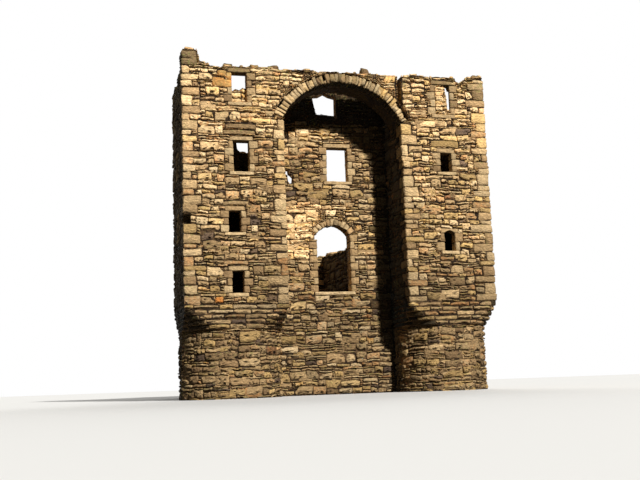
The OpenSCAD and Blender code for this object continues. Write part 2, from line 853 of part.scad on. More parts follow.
module gable_sills() {
    color(dressed) on_gable() {
        sill(gable_window);
        sill([x_arch, hall_sill, hall_window_w, hall_window_h]);
    }
}

module north_wall() {
    y0 = y_front + left_tower_w;
    color(rubble) difference() {
        wall_along_y([
            [y_gable_in, 0], [y_end, 0], [y_end, ruin_head - 700],
            [y_end - 450, ruin_head - 520], [y_end - 560, ruin_head - 120],
            [y_end - 1700, ruin_head - 60], [y_end - 1820, ruin_head - 330],
            [y_end - 3300, ruin_head - 260], [y_end - 3420, ruin_head + 20],
            [y_end - 5200, ruin_head + 60], [y_end - 5330, ruin_head + 420],
            [y_end - 6700, ruin_head + 520], [y_end - 6830, ruin_head + 900],
            [y0 + 1900, ruin_head + 980], [y0 + 1780, ruin_head + 1500],
            [y0 + 900, ruin_head + 1580], [y0 + 780, ruin_head + 2050],
            [y_gable_in, ruin_head + 2150]
        ], x_gap_left - side_wall_t, x_gap_left);
        tower_void(x_left, left_tower_w);
        passages(x_gap_left, left_tower_w, -1);
        on_north() for (win = north_windows) window_cut(win, side_wall_t);
    }
}

module south_wall() {
    y0 = y_front + right_tower_w;
    color(rubble) difference() {
        wall_along_y([
            [y_gable_in, 0], [y_end, 0], [y_end, ruin_head - 250],
            [y_end - 600, ruin_head - 160], [y_end - 720, ruin_head + 40],
            [y_end - 2300, ruin_head + 20], [y_end - 2420, ruin_head - 110],
            [y_end - 4100, ruin_head - 130], [y_end - 4230, ruin_head - 230],
            [y_end - 5900, ruin_head - 200], [y_end - 6020, ruin_head + 260],
            [y_end - 7100, ruin_head + 330], [y_end - 7220, ruin_head + 820],
            [y0 + 1300, ruin_head + 900], [y0 + 1180, ruin_head + 1500],
            [y_gable_in, ruin_head + 1600]
        ], x_gap_right, x_gap_right + side_wall_t);
        tower_void(x_gap_right, right_tower_w);
        passages(x_gap_right, right_tower_w, 1);
        on_south() for (win = south_windows) window_cut(win, side_wall_t);
    }
}

module side_lintels() {
    color(dressed) {
        on_north() for (win = north_windows) lintel(win);
        on_south() for (win = south_windows) lintel(win);
        on_end() lintel([-x_arch, 0, door_w, door_h]);
    }
}

module side_jambs() {
    color(dressed) {
        on_north() for (win = north_windows) jamb_pair(win);
        on_south() for (win = south_windows) jamb_pair(win);
        on_end() jamb_pair([-x_arch, 0, door_w, door_h]);
    }
}

module side_sills() {
    color(dressed) {
        on_north() for (win = north_windows) sill(win);
        on_south() for (win = south_windows) sill(win);
    }
}

// The end wall stands on both sides of the doorway, with the gap of a lost window above it
module end_wall_north() {
    color(rubble) difference() {
        wall_along_x([
            [x_gap_left, 0], [x_arch - door_w / 2, 0], [x_arch - door_w / 2, ruin_head - 900],
            [x_arch - door_w / 2 - 160, ruin_head - 860],
            [x_arch - door_w / 2 - 240, ruin_head - 420],
            [x_arch - door_w / 2 - 700, ruin_head - 360],
            [x_arch - door_w / 2 - 790, ruin_head - 600],
            [x_gap_left + 500, ruin_head - 640], [x_gap_left, ruin_head - 560]
        ], y_end_in, y_end);
        on_end() {
            jamb_pair([-x_arch, 0, door_w, door_h]);
            lintel([-x_arch, 0, door_w, door_h]);
        }
    }
}

module end_wall_south() {
    color(rubble) difference() {
        wall_along_x([
            [x_arch + door_w / 2, 0], [x_gap_right, 0], [x_gap_right, ruin_head + 40],
            [x_gap_right - 620, ruin_head + 20], [x_gap_right - 720, ruin_head - 180],
            [x_arch + door_w / 2 + 480, ruin_head - 220],
            [x_arch + door_w / 2 + 380, ruin_head - 560],
            [x_arch + door_w / 2, ruin_head - 620]
        ], y_end_in, y_end);
        on_end() {
            jamb_pair([-x_arch, 0, door_w, door_h]);
            lintel([-x_arch, 0, door_w, door_h]);
        }
    }
}

module end_wall_middle() {
    color(rubble) difference() {
        slab(x_arch - door_w / 2, x_arch + door_w / 2, y_end_in, y_end, door_h, hall_sill);
        on_end() lintel([-x_arch, 0, door_w, door_h]);
    }
}

// Stone vault over the cellar, with the hall's flags on top
module cellar_vault() {
    radius = (pow(arch_span / 2, 2) + pow(vault_rise, 2)) / (2 * vault_rise);
    color(flags) difference() {
        slab(x_gap_left, x_gap_right, y_gable_in, y_end_in, vault_spring, hall_floor);
        translate([x_arch, y_end_in + eps, vault_spring + vault_rise - radius])
            rotate([90, 0, 0]) cylinder(r = radius, h = y_end_in - y_gable_in + 2 * eps);
    }
}

left_drum();
left_corbels();
left_front_wall();
left_outer_wall();
left_inner_wall();
left_back_wall();
left_floors();
left_lintels();
left_jambs();
left_sills();
left_blocking();
left_corner_stack();
right_drum();
right_corbels();
right_front_wall();
right_outer_wall();
right_inner_wall();
right_back_wall();
right_floors();
right_lintels();
right_jambs();
right_sills();
right_blocking();
right_corner_stack();
great_arch();
arch_barrel();
left_spandrel();
right_spandrel();
gable_base();
gable_hall_stage();
gable_upper_stage();
hall_window_arch();
gable_lintels();
gable_jambs();
gable_sills();
north_wall();
south_wall();
side_lintels();
side_jambs();
side_sills();
end_wall_north();
end_wall_south();
end_wall_middle();
cellar_vault();
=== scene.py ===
"""Looks of a ruined castle keep: laid stones, dressed blocks, finishes, light and camera.

Metres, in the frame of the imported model: +X runs along the front to the right, +Y goes away
from the front, +Z is up and the ground is at zero. Stones are laid on the faces of the walls
by size and chance, and every repeat of the script lays the same ones.
"""

import math

import bpy
import numpy as np
from bpy.props import FloatProperty, FloatVectorProperty, PointerProperty
from mathutils import Matrix, Vector
from mathutils.bvhtree import BVHTree


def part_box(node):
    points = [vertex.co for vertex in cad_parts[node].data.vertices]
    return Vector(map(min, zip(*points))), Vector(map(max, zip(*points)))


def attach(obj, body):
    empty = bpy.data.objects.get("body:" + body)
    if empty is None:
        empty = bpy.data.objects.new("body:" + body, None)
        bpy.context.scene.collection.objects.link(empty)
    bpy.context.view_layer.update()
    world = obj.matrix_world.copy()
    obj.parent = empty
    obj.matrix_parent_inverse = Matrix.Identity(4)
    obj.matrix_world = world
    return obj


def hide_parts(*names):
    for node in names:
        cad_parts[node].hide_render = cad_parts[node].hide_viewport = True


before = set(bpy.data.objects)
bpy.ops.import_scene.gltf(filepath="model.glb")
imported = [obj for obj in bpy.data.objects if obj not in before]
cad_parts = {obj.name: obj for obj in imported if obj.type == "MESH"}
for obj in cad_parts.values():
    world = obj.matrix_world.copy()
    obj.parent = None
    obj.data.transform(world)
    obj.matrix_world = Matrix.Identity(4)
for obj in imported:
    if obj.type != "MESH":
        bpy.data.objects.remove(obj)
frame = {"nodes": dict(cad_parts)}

bl_info = {
    "name": "Castle keep masonry",
    "version": (1, 0, 0),
    "blender": (4, 5, 0),
    "location": "View3D > Sidebar > Keep",
    "description": "Lays the stones of a ruined castle keep on its walls and lights it",
    "category": "Object",
}


def low(node, axis):
    """Lowest coordinate of a CAD node along an axis."""
    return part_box(node)[0][axis]


def high(node, axis):
    """Highest coordinate of a CAD node along an axis."""
    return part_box(node)[1][axis]


# Places of the building, read from the frame
X_LEFT = low("left_front_wall", 0)
X_GAP_LEFT = high("left_front_wall", 0)
X_GAP_RIGHT = low("right_front_wall", 0)
X_RIGHT = high("right_front_wall", 0)
X_NORTH = low("north_wall", 0)
X_SOUTH = high("south_wall", 0)
X_ARCH = (X_GAP_LEFT + X_GAP_RIGHT) / 2
Y_FRONT = low("left_front_wall", 1)
Y_GABLE = low("gable_base", 1)
Y_GABLE_IN = high("gable_base", 1)
Y_LEFT_BACK = high("left_back_wall", 1)
Y_RIGHT_BACK = high("right_back_wall", 1)
Y_END = high("north_wall", 1)
Y_END_IN = low("end_wall_middle", 1)
Z_CORBEL = low("left_corbels", 2)
Z_CAP = high("left_corbels", 2)
Z_SPRING = low("great_arch", 2)
Z_HEAD = low("left_corner_stack", 2)
Z_HALL = high("cellar_vault", 2)
Z_TOP = high("left_corner_stack", 2)
X_TOP_WINDOW = X_LEFT + 1.95

# Nodes whose faces stones are not laid on
BARE = ("lintels", "jambs", "sills", "floors", "cellar_vault", "great_arch", "hall_window_arch")
WALLS = {n for n in frame["nodes"] if not n.endswith(BARE)}
UPRIGHT_WALLS = WALLS - {"arch_barrel", "left_corbels", "right_corbels"}

# Mixes of stone: share, shortest and longest, thinnest and thickest, in metres
RUBBLE_MIX = (
    (0.25, 0.38, 0.84, 0.24, 0.40),
    (0.48, 0.26, 0.58, 0.15, 0.26),
    (0.12, 0.30, 0.70, 0.08, 0.12),
    (0.15, 0.10, 0.24, 0.07, 0.14),
)
PLAIN_MIX = (
    (0.24, 0.45, 0.85, 0.24, 0.36),
    (0.55, 0.36, 0.66, 0.15, 0.25),
    (0.21, 0.35, 0.90, 0.10, 0.14),
)
INNER_MIX = (
    (0.30, 0.55, 1.05, 0.28, 0.44),
    (0.50, 0.45, 0.85, 0.18, 0.30),
    (0.20, 0.45, 1.00, 0.12, 0.16),
)
CORBEL_MIX = ((1.0, 0.35, 0.95, 0.18, 0.18),)
MORTAR_MIX = (
    (0.6, 0.45, 1.10, 0.28, 0.60),
    (0.4, 0.20, 0.50, 0.12, 0.30),
)
HEAD_MIX = (
    (0.50, 0.30, 0.68, 0.22, 0.50),
    (0.35, 0.20, 0.38, 0.16, 0.32),
    (0.15, 0.08, 0.20, 0.08, 0.20),
)

# Patch of clean pale stone in the middle of the recess
PALE_RIGHT = X_ARCH - 0.55
PALE_FOOT = 5.4
PALE_TOP = 7.75

# How far a patch reaches out of its wall's face and into the wall
PATCH_OUT = 0.2
PATCH_IN = 0.1


def recess_patch(foot, top, change, light, right=X_GAP_RIGHT):
    """A patch on the recess wall, up to a place on its right."""
    return (X_GAP_LEFT, Y_GABLE - PATCH_OUT, foot), (right, Y_GABLE + PATCH_IN, top), change, light


def front_patch(left, right, foot, top, change, light):
    """A patch on the front between two places."""
    return (left, Y_FRONT - PATCH_OUT, foot), (right, Y_FRONT + PATCH_IN, top), change, light


def side_patch(x, front, back, foot, change, light):
    """A patch on a wall that runs from front to back, from a height up."""
    return (x - PATCH_OUT, front, foot), (x + PATCH_IN, back, Z_TOP), change, light


# Two corners of the heads of the towers and the arch
HEADS_LOW = (X_LEFT - PATCH_OUT, Y_FRONT - PATCH_OUT, Z_HEAD - 0.12)
HEADS_HIGH = (X_RIGHT + PATCH_OUT, Y_GABLE, Z_TOP + 1)

# Places whose stones differ: two corners, the change of kind and the factor of brightness.
# In order: the recess from its foot to its head, whose head above 11.1 m is darkened as painted
# shadow of the arch; the fronts of the two towers; the north side, the reveal beside the arch
# and the inner face of the hall's right wall, darkened as painted shade; and the heads, darker
# both for weathering and as painted shade.
PATCHES = (
    recess_patch(0.0, 5.3, 0.0, 0.85),
    recess_patch(0.0, 10.4, 0.0, 1.06),
    recess_patch(PALE_FOOT, PALE_TOP, 0.08, 1.66, PALE_RIGHT),
    recess_patch(7.7, 9.7, -0.10, 0.82, X_ARCH - 0.7),
    recess_patch(7.7, 10.4, -0.06, 0.72),
    # Painted shadow of the arch on the gable's head
    recess_patch(11.1, Z_TOP, 0.0, 0.10),
    recess_patch(11.8, Z_TOP, 0.0, 0.35),
    front_patch(X_GAP_LEFT - 1.2, X_GAP_LEFT, Z_CAP, 10.2, -0.04, 0.84),
    front_patch(X_LEFT, X_TOP_WINDOW, Z_HEAD - 0.9, Z_HEAD + 0.2, 0.12, 1.0),
    front_patch(X_GAP_RIGHT, X_RIGHT, Z_CAP, 5.2, -0.04, 0.90),
    front_patch(X_GAP_RIGHT, X_RIGHT, Z_CAP, Z_TOP, 0.0, 1.08),
    # Painted shade on the sunless north side, the reveal beside the arch and the hall wall behind it
    side_patch(X_LEFT, Y_FRONT, Y_LEFT_BACK, Z_CAP, -0.14, 0.58),
    side_patch(X_GAP_RIGHT, Y_FRONT, Y_GABLE, Z_CORBEL, -0.16, 0.24),
    side_patch(X_GAP_RIGHT, Y_GABLE_IN, Y_END, Z_HALL, -0.14, 0.30),
    # Heads darker both for weathering and as painted shade
    (HEADS_LOW, HEADS_HIGH, -0.08, 0.80),
)

# Width and height of the cells that stones are laid on, and how far in or out of one another
# those of one stone may lie
CELL = (0.05, 0.035)
SAME_LEVEL = 0.05

# How far the back of a stone lies behind the face
STONE_BACK = 0.03

# Least and greatest height of a course, the rows of cells that courses are drawn for past a
# face's top, and the chance that a stone ends at the top of its course
COURSE = (0.34, 0.64)
SPARE_ROWS = 40
BED_CHANCE = 0.85

# Height of a stone for its width at most, for common stones and for the few upright ones
SQUAT = 0.8
UPRIGHT = 1.25
SQUAT_CHANCE = 0.8

# A stone's kind is its place on a ramp from plum over honey and cream to ochre and orange. No
# patch changes the kinds from ODD_KINDS up.
PLAIN_KINDS = (0.08, 0.82)
ODD_KINDS = 0.84
PLUM_KIND = 0.02
HONEY_KIND = 0.6
OCHRE_KIND = 0.87
ORANGE_KIND = 0.98

# A stone's shade is stored as a share of this, up to a brightest one
SHADE_SCALE = 1.4
BRIGHTEST = 1.5

# Factors of brightness of the masonry behind the stones and of the arch's barrel, which is
# darkened as painted shade
CORE_LIGHT = 0.86
VAULT_PAINTED_SHADE = 0.07

# Factor of brightness of the stones by height, darker at the foot and paler up to the wall heads
LIGHT_HEIGHTS = (1, 3, 6, 9, 12)
LIGHT_FACTORS = (0.92, 0.86, 1.26, 1.58, 2.15)


def linear(red, green, blue):
    """Scene-linear colour of a red, green and blue from 0 to 255 as they show on a screen."""
    shown = (c / 255 for c in (red, green, blue))
    return tuple(c / 12.92 if c < 0.04045 else ((c + 0.055) / 1.055) ** 2.4 for c in shown)


def colour(name, description, red, green, blue):
    """A colour setting."""
    return FloatVectorProperty(
        name=name,
        description=description,
        subtype="COLOR",
        size=3,
        min=0,
        max=1,
        default=linear(red, green, blue),
    )


def length(name, description, default):
    """A length setting in metres."""
    return FloatProperty(name=name, description=description, default=default, unit="LENGTH")


def angle(name, description, default):
    """An angle setting in radians."""
    return FloatProperty(name=name, description=description, default=default, subtype="ANGLE")


class RubbleSettings(bpy.types.PropertyGroup):
    """Sizes and colours of the rubble stones."""

    joint: length("Joint", "Half the gap between two stones", 0.008)
    proud: length("Proud", "How far a common stone stands out of its joints", 0.044)
    relief: length("Relief", "How much that differs from stone to stone", 0.026)
    wander: length("Wander", "How far the beds wander up and down", 0.030)
    filled: FloatProperty(
        name="Filled",
        description="Share of the joints that still hold mortar",
        subtype="FACTOR",
        min=0,
        max=1,
        default=0.5,
    )
    cream: colour("Cream stone", "Palest stones", 222, 192, 145)
    honey: colour("Honey stone", "Commonest stones", 203, 170, 122)
    tan: colour("Tan stone", "Common darker stones", 178, 145, 101)
    brown: colour("Brown stone", "Weathered stones", 143, 113, 79)
    ochre: colour("Ochre stone", "Yellow stones", 198, 161, 98)
    plum: colour("Plum stone", "Purple-brown stones", 108, 88, 71)
    orange: colour("Orange stone", "A few bright stones", 212, 134, 64)
    # Also laid over faces that look down as painted shade
    gap: colour("Gap", "Open joints", 46, 34, 23)
    earth: colour("Earth", "Earth and old mortar in filled joints", 104, 80, 54)
    lichen: colour("Lichen", "Growth on tops and corners", 158, 154, 90)
    # Painted shade: a dark grey-green laid over the north side and the reveal beside the arch
    painted_shade: colour("Damp", "Corner stones on the sides that no sun dries", 44, 47, 44)


class DressedSettings(bpy.types.PropertyGroup):
    """Sizes and colours of the cut stones."""

    quoin_long: length("Quoin length", "Length of a long quoin face", 0.66)
    quoin_short: length("Quoin end", "Length of a short quoin face", 0.36)
    quoin_course: length("Quoin course", "Mean height of a quoin", 0.30)
    margin: length("Margin", "Width of the worn margin round a block's face", 0.028)
    proud: length("Proud", "How far a block stands out of the wall's joints", 0.035)
    voussoir: length("Arch stone", "Mean thickness of a great arch stone", 0.140)
    pale: colour("Pale block", "Cut blocks round openings", 214, 184, 136)
    deep: colour("Deep block", "Darker cut blocks", 186, 152, 106)
    gold: colour("Gold block", "Yellow cut blocks", 206, 164, 98)


class StageSettings(bpy.types.PropertyGroup):
    """Camera, lamps and floor."""

    sun_strength: FloatProperty(name="Sun", description="Strength of the main lamp", default=4.1)
    sun_size: angle("Sun size", "Angle over which the main lamp spreads", math.radians(3.5))
    sun_turn: angle("Sun turn", "Main lamp's angle to the right of the front", math.radians(17))
    sun_rise: angle("Sun rise", "Main lamp's angle above level", math.radians(32))
    fill_strength: FloatProperty(name="Fill", description="Strength of the rear lamp", default=1.9)
    sky_strength: FloatProperty(name="Sky", description="Strength of the even light", default=0.09)
    floor_size: length("Floor size", "Width of the plain floor", 400.0)
    floor: colour("Floor", "Colour of the plain floor", 232, 230, 225)
    floor_bounce: colour("Floor bounce", "Colour that the floor throws back up", 50, 48, 42)
    lens: FloatProperty(name="Lens", description="Focal length", unit="CAMERA", default=52.03)
    yaw: angle("Yaw", "Turn to the left", -0.25327)
    pitch: angle("Pitch", "Tilt upwards", 0.15413)
    roll: angle("Roll", "Tilt sideways", -0.03541)
    eye: FloatVectorProperty(
        name="Eye",
        description="Place of the camera",
        subtype="TRANSLATION",
        default=(-9.755, -40.885, 0.439),
    )


def triangles(obj):
    """Points and triangles of a CAD node."""
    mesh = obj.data
    points = np.empty(len(mesh.vertices) * 3, np.float32)
    mesh.vertices.foreach_get("co", points)
    corners = np.empty(len(mesh.loops), np.int32)
    mesh.loops.foreach_get("vertex_index", corners)
    return points.reshape(-1, 3), corners.reshape(-1, 3)


class Survey:
    """All CAD nodes as one set of triangles, which says what a ray meets."""

    # Least cosine between a ray and a face that it fits, and the step out of a face it met
    least_cosine = 0.7
    skin = 0.004

    def __init__(self, nodes):
        points, faces, self.owner = [], [], []
        for name, obj in nodes.items():
            own_points, own_faces = triangles(obj)
            faces.extend((own_faces + len(points)).tolist())
            points.extend(own_points.tolist())
            self.owner.extend([name] * len(own_faces))
        self.tree = BVHTree.FromPolygons(points, faces, all_triangles=True)

    def face_at(self, point, outward, reach):
        """The node with a face near the point that looks outward into open air."""
        start = point + outward * reach
        place, normal, index, _ = self.tree.ray_cast(start, -outward, 2 * reach)
        if index is None or normal.dot(outward) < self.least_cosine:
            return None
        _, beyond, _, _ = self.tree.ray_cast(place + outward * self.skin, outward)
        if beyond is not None and beyond.dot(outward) > 0:
            return None
        return self.owner[index]

    def drop(self, x, y):
        """What a plumb line from above the building meets: place, normal and node."""
        place, normal, index, _ = self.tree.ray_cast(Vector((x, y, Z_TOP + 1)), Vector((0, 0, -1)))
        return place, normal, None if index is None else self.owner[index]


SURVEY = Survey(frame["nodes"])


class Facing:
    """An upright face that carries stones. Walking along its plan, the wall is on the left."""

    def __init__(self, plan, foot, top, walls=None, rows=None):
        self.plan = np.array(plan, float)
        step = np.diff(self.plan, axis=0)
        self.run = np.concatenate([[0.0], np.cumsum(np.hypot(*step.T))])
        side = np.column_stack([step[:, 1], -step[:, 0]])
        side /= np.hypot(*side.T)[:, None]
        both = np.vstack([side[:1], side[1:] + side[:-1], side[-1:]])
        self.normal = both / np.hypot(*both.T)[:, None]
        self.foot = foot
        self.cols = max(1, round(self.run[-1] / CELL[0]))
        self.rows = rows or max(1, round((top - foot) / CELL[1]))
        self.cell = (self.run[-1] / self.cols, (top - foot) / self.rows)
        self.free = np.zeros((self.rows, self.cols), bool)
        self.depth = np.zeros((self.rows, self.cols))
        self.look(walls or UPRIGHT_WALLS)

    def along(self, u):
        """Place in plan and outward direction at run u, as x, y and their two parts."""
        return [np.interp(u, self.run, part) for part in (*self.plan.T, *self.normal.T)]

    def place(self, u, v, d):
        """Points at run u, height v above the foot and distance d out of the face."""
        x, y, nx, ny = self.along(u)
        return np.stack([x + d * nx, y + d * ny, np.maximum(self.foot + v + 0 * d, 0)], axis=-1)

    def look(self, walls, reach=0.03):
        """Frees the cells where one of the walls stands in open air."""
        x, y, nx, ny = self.along((np.arange(self.cols) + 0.5) * self.cell[0])
        for col in range(self.cols):
            outward = Vector((nx[col], ny[col], 0)).normalized()
            for row in range(self.rows):
                point = Vector((x[col], y[col], self.foot + (row + 0.5) * self.cell[1]))
                self.free[row, col] = SURVEY.face_at(point, outward, reach) in walls

    def keep_clear(self, run, height):
        """Takes the cells between two runs and two heights from the rubble."""
        low_col, high_col = sorted(round(u / self.cell[0]) for u in run)
        low_row, high_row = (round((z - self.foot) / self.cell[1]) for z in height)
        self.free[max(0, low_row):max(0, high_row), max(0, low_col):max(0, high_col)] = False

    def run_of(self, x, y):
        """Run along a straight face at a place in plan."""
        along = self.plan[-1] - self.plan[0]
        return float((np.array([x, y]) - self.plan[0]) @ along / np.hypot(*along))


class Heads:
    """The broken tops of the walls in plan, with the height of each cell."""

    def __init__(self, walls, cell=0.07):
        self.low = np.array([X_LEFT, Y_FRONT])
        size = np.array([X_RIGHT, Y_END]) - self.low
        self.cols, self.rows = (round(s / cell) for s in size)
        self.cell = (size[0] / self.cols, size[1] / self.rows)
        self.free = np.zeros((self.rows, self.cols), bool)
        self.depth = np.zeros((self.rows, self.cols))
        for row in range(self.rows):
            for col in range(self.cols):
                x, y = self.low + (np.array([col, row]) + 0.5) * self.cell
                place, normal, node = SURVEY.drop(x, y)
                if node in walls and normal.z >= 0.2:
                    self.free[row, col] = True
                    self.depth[row, col] = place.z

    def place(self, u, v, d):
        """Points at u along X and v along Y from the near left corner, at height d."""
        return np.stack([self.low[0] + u + 0 * d, self.low[1] + v + 0 * d, d], axis=-1)


def leading(mask):
    """How many values are true before the first false one."""
    return len(mask) if mask.all() else int(np.argmin(mask))


def course_beds(face, rng):
    """For each row of cells, the next bed that runs through above it."""
    beds = [0]
    while beds[-1] < face.rows + SPARE_ROWS:
        beds.append(beds[-1] + max(1, round(rng.uniform(*COURSE) / face.cell[1])))
    return np.array(beds)[np.searchsorted(beds, np.arange(face.rows), side="right")]


def stone_size(kind, face, room, rng):
    """Cells that a stone of a kind takes along and up, where there is room for some along."""
    wide = max(1, round(rng.uniform(kind[1], kind[2]) / face.cell[0]))
    tall = max(1, round(rng.uniform(kind[3], kind[4]) / face.cell[1]))
    wide = room if room - wide < 2 else min(wide, room)
    tallest = SQUAT if rng.random() < SQUAT_CHANCE else UPRIGHT
    tall = min(tall, max(2, round(tallest * wide * face.cell[0] / face.cell[1])))
    return wide, tall


def lay(face, mix, rng, level_chance):
    """Fills a face's free cells with stones from the foot up, as first and last cells. Most
    stones end at the beds of the courses or level with the stone beside them."""
    free = face.free.copy()
    widest = round(max(m[2] for m in mix) / face.cell[0]) + 3
    highest = round(max(m[4] for m in mix) / face.cell[1]) + 4
    shares = np.cumsum([m[0] for m in mix])
    beds = course_beds(face, rng)
    tops = np.zeros(face.cols, int)
    laid = []
    for row in range(face.rows):
        col = 0
        while col < face.cols:
            if not free[row, col]:
                col += 1
                continue
            near = slice(row, row + highest), slice(col, col + widest)
            like = np.abs(face.depth[near] - face.depth[row, col]) < SAME_LEVEL
            window = free[near] & like
            kind = mix[int(np.searchsorted(shares, rng.random() * shares[-1]))]
            wide, tall = stone_size(kind, face, leading(window[0]), rng)
            rise = tops[col - 1] - row if col else 0
            if 1 < rise <= tall + 2 and rng.random() < level_chance:
                tall = rise
            to_bed = beds[row] - row
            if to_bed < tall + 2 and (to_bed == tall + 1 or rng.random() < BED_CHANCE):
                tall = to_bed
            tall = min(tall, leading(window[:, :wide].all(axis=1)))
            free[row:row + tall, col:col + wide] = False
            tops[col:col + wide] = row + tall
            laid.append((col, col + wide, row, row + tall))
            col += wide
    return np.array(laid, int).reshape(-1, 4)


class Pile:
    """Points, faces and attribute values gathered for one piece."""

    def __init__(self):
        self.points, self.corners, self.sizes, self.tints, self.edges = [], [], [], [], []
        self.count = 0

    def add(self, points, faces, tints, edges):
        """Adds like shapes: points (shapes, points, 3), their shared faces, tints (shapes, 3)
        and how near each point is to an edge."""
        shapes, each = points.shape[:2]
        start = self.count + np.arange(shapes) * each
        corners = np.concatenate([np.array(f) for f in faces])
        self.points.append(points.reshape(-1, 3))
        self.corners.append((start[:, None] + corners).ravel())
        self.sizes.append(np.tile([len(f) for f in faces], shapes))
        full = np.concatenate([tints, np.ones((shapes, 1))], axis=1)
        self.tints.append(np.repeat(full, each, axis=0))
        self.edges.append(np.broadcast_to(edges, (shapes, each)).ravel())
        self.count += shapes * each

    def build(self, name, material, slot, *nodes):
        """Makes the piece, which rides on the building and may stand for some nodes."""
        mesh = bpy.data.meshes.new(name)
        points = np.concatenate(self.points)
        corners = np.concatenate(self.corners)
        sizes = np.concatenate(self.sizes)
        mesh.vertices.add(len(points))
        mesh.vertices.foreach_set("co", points.astype(np.float32).ravel())
        mesh.loops.add(len(corners))
        mesh.loops.foreach_set("vertex_index", corners.astype(np.int32))
        mesh.polygons.add(len(sizes))
        starts = np.concatenate([[0], np.cumsum(sizes)[:-1]])
        mesh.polygons.foreach_set("loop_start", starts.astype(np.int32))
        mesh.update(calc_edges=True)
        tint = mesh.attributes.new("tint", "FLOAT_COLOR", "POINT")
        tint.data.foreach_set("color", np.concatenate(self.tints).astype(np.float32).ravel())
        edge = mesh.attributes.new("edge", "FLOAT", "POINT")
        edge.data.foreach_set("value", np.concatenate(self.edges).astype(np.float32))
        mesh.materials.append(material)
        piece = bpy.data.objects.new(name, mesh)
        bpy.context.scene.collection.objects.link(piece)
        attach(piece, "root")
        if nodes:
            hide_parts(*nodes)
        print(name, int((sizes - 2).sum()), "triangles")
        return piece


# Points round a stone's face, counter-clockwise, as shares of its width and height
FINE_RING = np.array([
    (0, 0), (0.25, 0), (0.5, 0), (0.75, 0), (1, 0), (1, 0.5),
    (1, 1), (0.75, 1), (0.5, 1), (0.25, 1), (0, 1), (0, 0.5),
])
PLAIN_RING = np.array([(0, 0), (0.35, 0), (0.65, 0), (1, 0), (1, 1), (0.65, 1), (0.35, 1), (0, 1)])


def ring_faces(points, rings):
    """Faces of a closed stone: its back, the bands between its rings and the fan in front."""
    faces = [tuple(reversed(range(points)))]
    for k in range(rings - 1):
        for i in range(points):
            j = (i + 1) % points
            faces.append((k * points + i, k * points + j, (k + 1) * points + j, (k + 1) * points + i))
    last = (rings - 1) * points
    middle = rings * points
    faces.extend((last + i, last + (i + 1) % points, middle) for i in range(points))
    return faces


def wander(u, v, reach):
    """Smooth drift of the joints, the same for neighbouring stones."""
    du = 0.6 * np.sin(3.1 * v + 1.7 * np.sin(1.3 * u)) + 0.5 * np.sin(9.3 * v + 2.1 * u)
    dv = 0.6 * np.sin(2.7 * u + 1.9 * np.sin(1.9 * v + 0.6)) + 0.4 * np.sin(6.9 * u - 2.3 * v)
    dv = dv + 0.4 * np.sin(15.1 * u + 2.6 * np.sin(5.3 * v))
    return u + 0.7 * reach * du, v + reach * dv


def outline_inset(ring, size, height, joint, rng):
    """How far the points of each stone's outline are drawn in from its cells: ragged joints,
    rounded corners, a wide open bed under some stones and one corner knocked off most."""
    shape = (len(size), len(ring))
    at_corner = np.isin(ring, (0, 1)).all(axis=1)
    inset = joint * rng.uniform(0.4, 1.9, shape)
    inset += rng.uniform(0, 0.016, shape) * np.minimum(1.0, height / 0.2)
    inset += at_corner * rng.uniform(0, 0.026, shape) * np.minimum(1.0, height / 0.12)
    open_bed = (rng.random((shape[0], 1)) < 0.46) * rng.uniform(0.012, 0.050, (shape[0], 1))
    inset *= np.where(np.isin(ring[:, 0], (0, 1)), 0.6, 1.0)
    inset += (ring[:, 1] == 0) * open_bed
    lost = np.flatnonzero(at_corner)[rng.integers(0, 4, shape[0])]
    knocked = rng.random(shape[0]) < 0.6
    inset[np.arange(shape[0]), lost] += knocked * rng.uniform(0.02, 0.12, shape[0])
    return np.minimum(inset[:, :, None], 0.3 * size)


def ring_depths(ring, height, proud, relief, rng):
    """How far each ring of a stone and its middle lie out of the face."""
    shape = (len(height), len(ring))
    one = (len(height), 1)
    out = proud + relief * np.clip(rng.normal(0, 0.6, one), -1.2, 1.7)
    small = np.minimum(1.0, height / 0.10)
    out = np.maximum(out * (0.55 + 0.45 * small), 0.012)
    drop = rng.uniform(0.012, 0.036, one) * small
    lean = rng.normal(0, 0.08, (len(height), 1, 2))
    side = out - drop + rng.normal(0, 0.003, shape)
    brow = out + rng.normal(0, 0.0035 + 0.0015 * small)
    crown = out + rng.uniform(0.004, 0.022, one)
    brow = brow + rng.normal(0, 0.004, shape)
    crown = crown + rng.normal(0, 0.007, shape)
    top = out + rng.uniform(0.002, 0.026, one)
    return np.concatenate([np.full(shape, -STONE_BACK), side, brow, crown, top], axis=1), lean


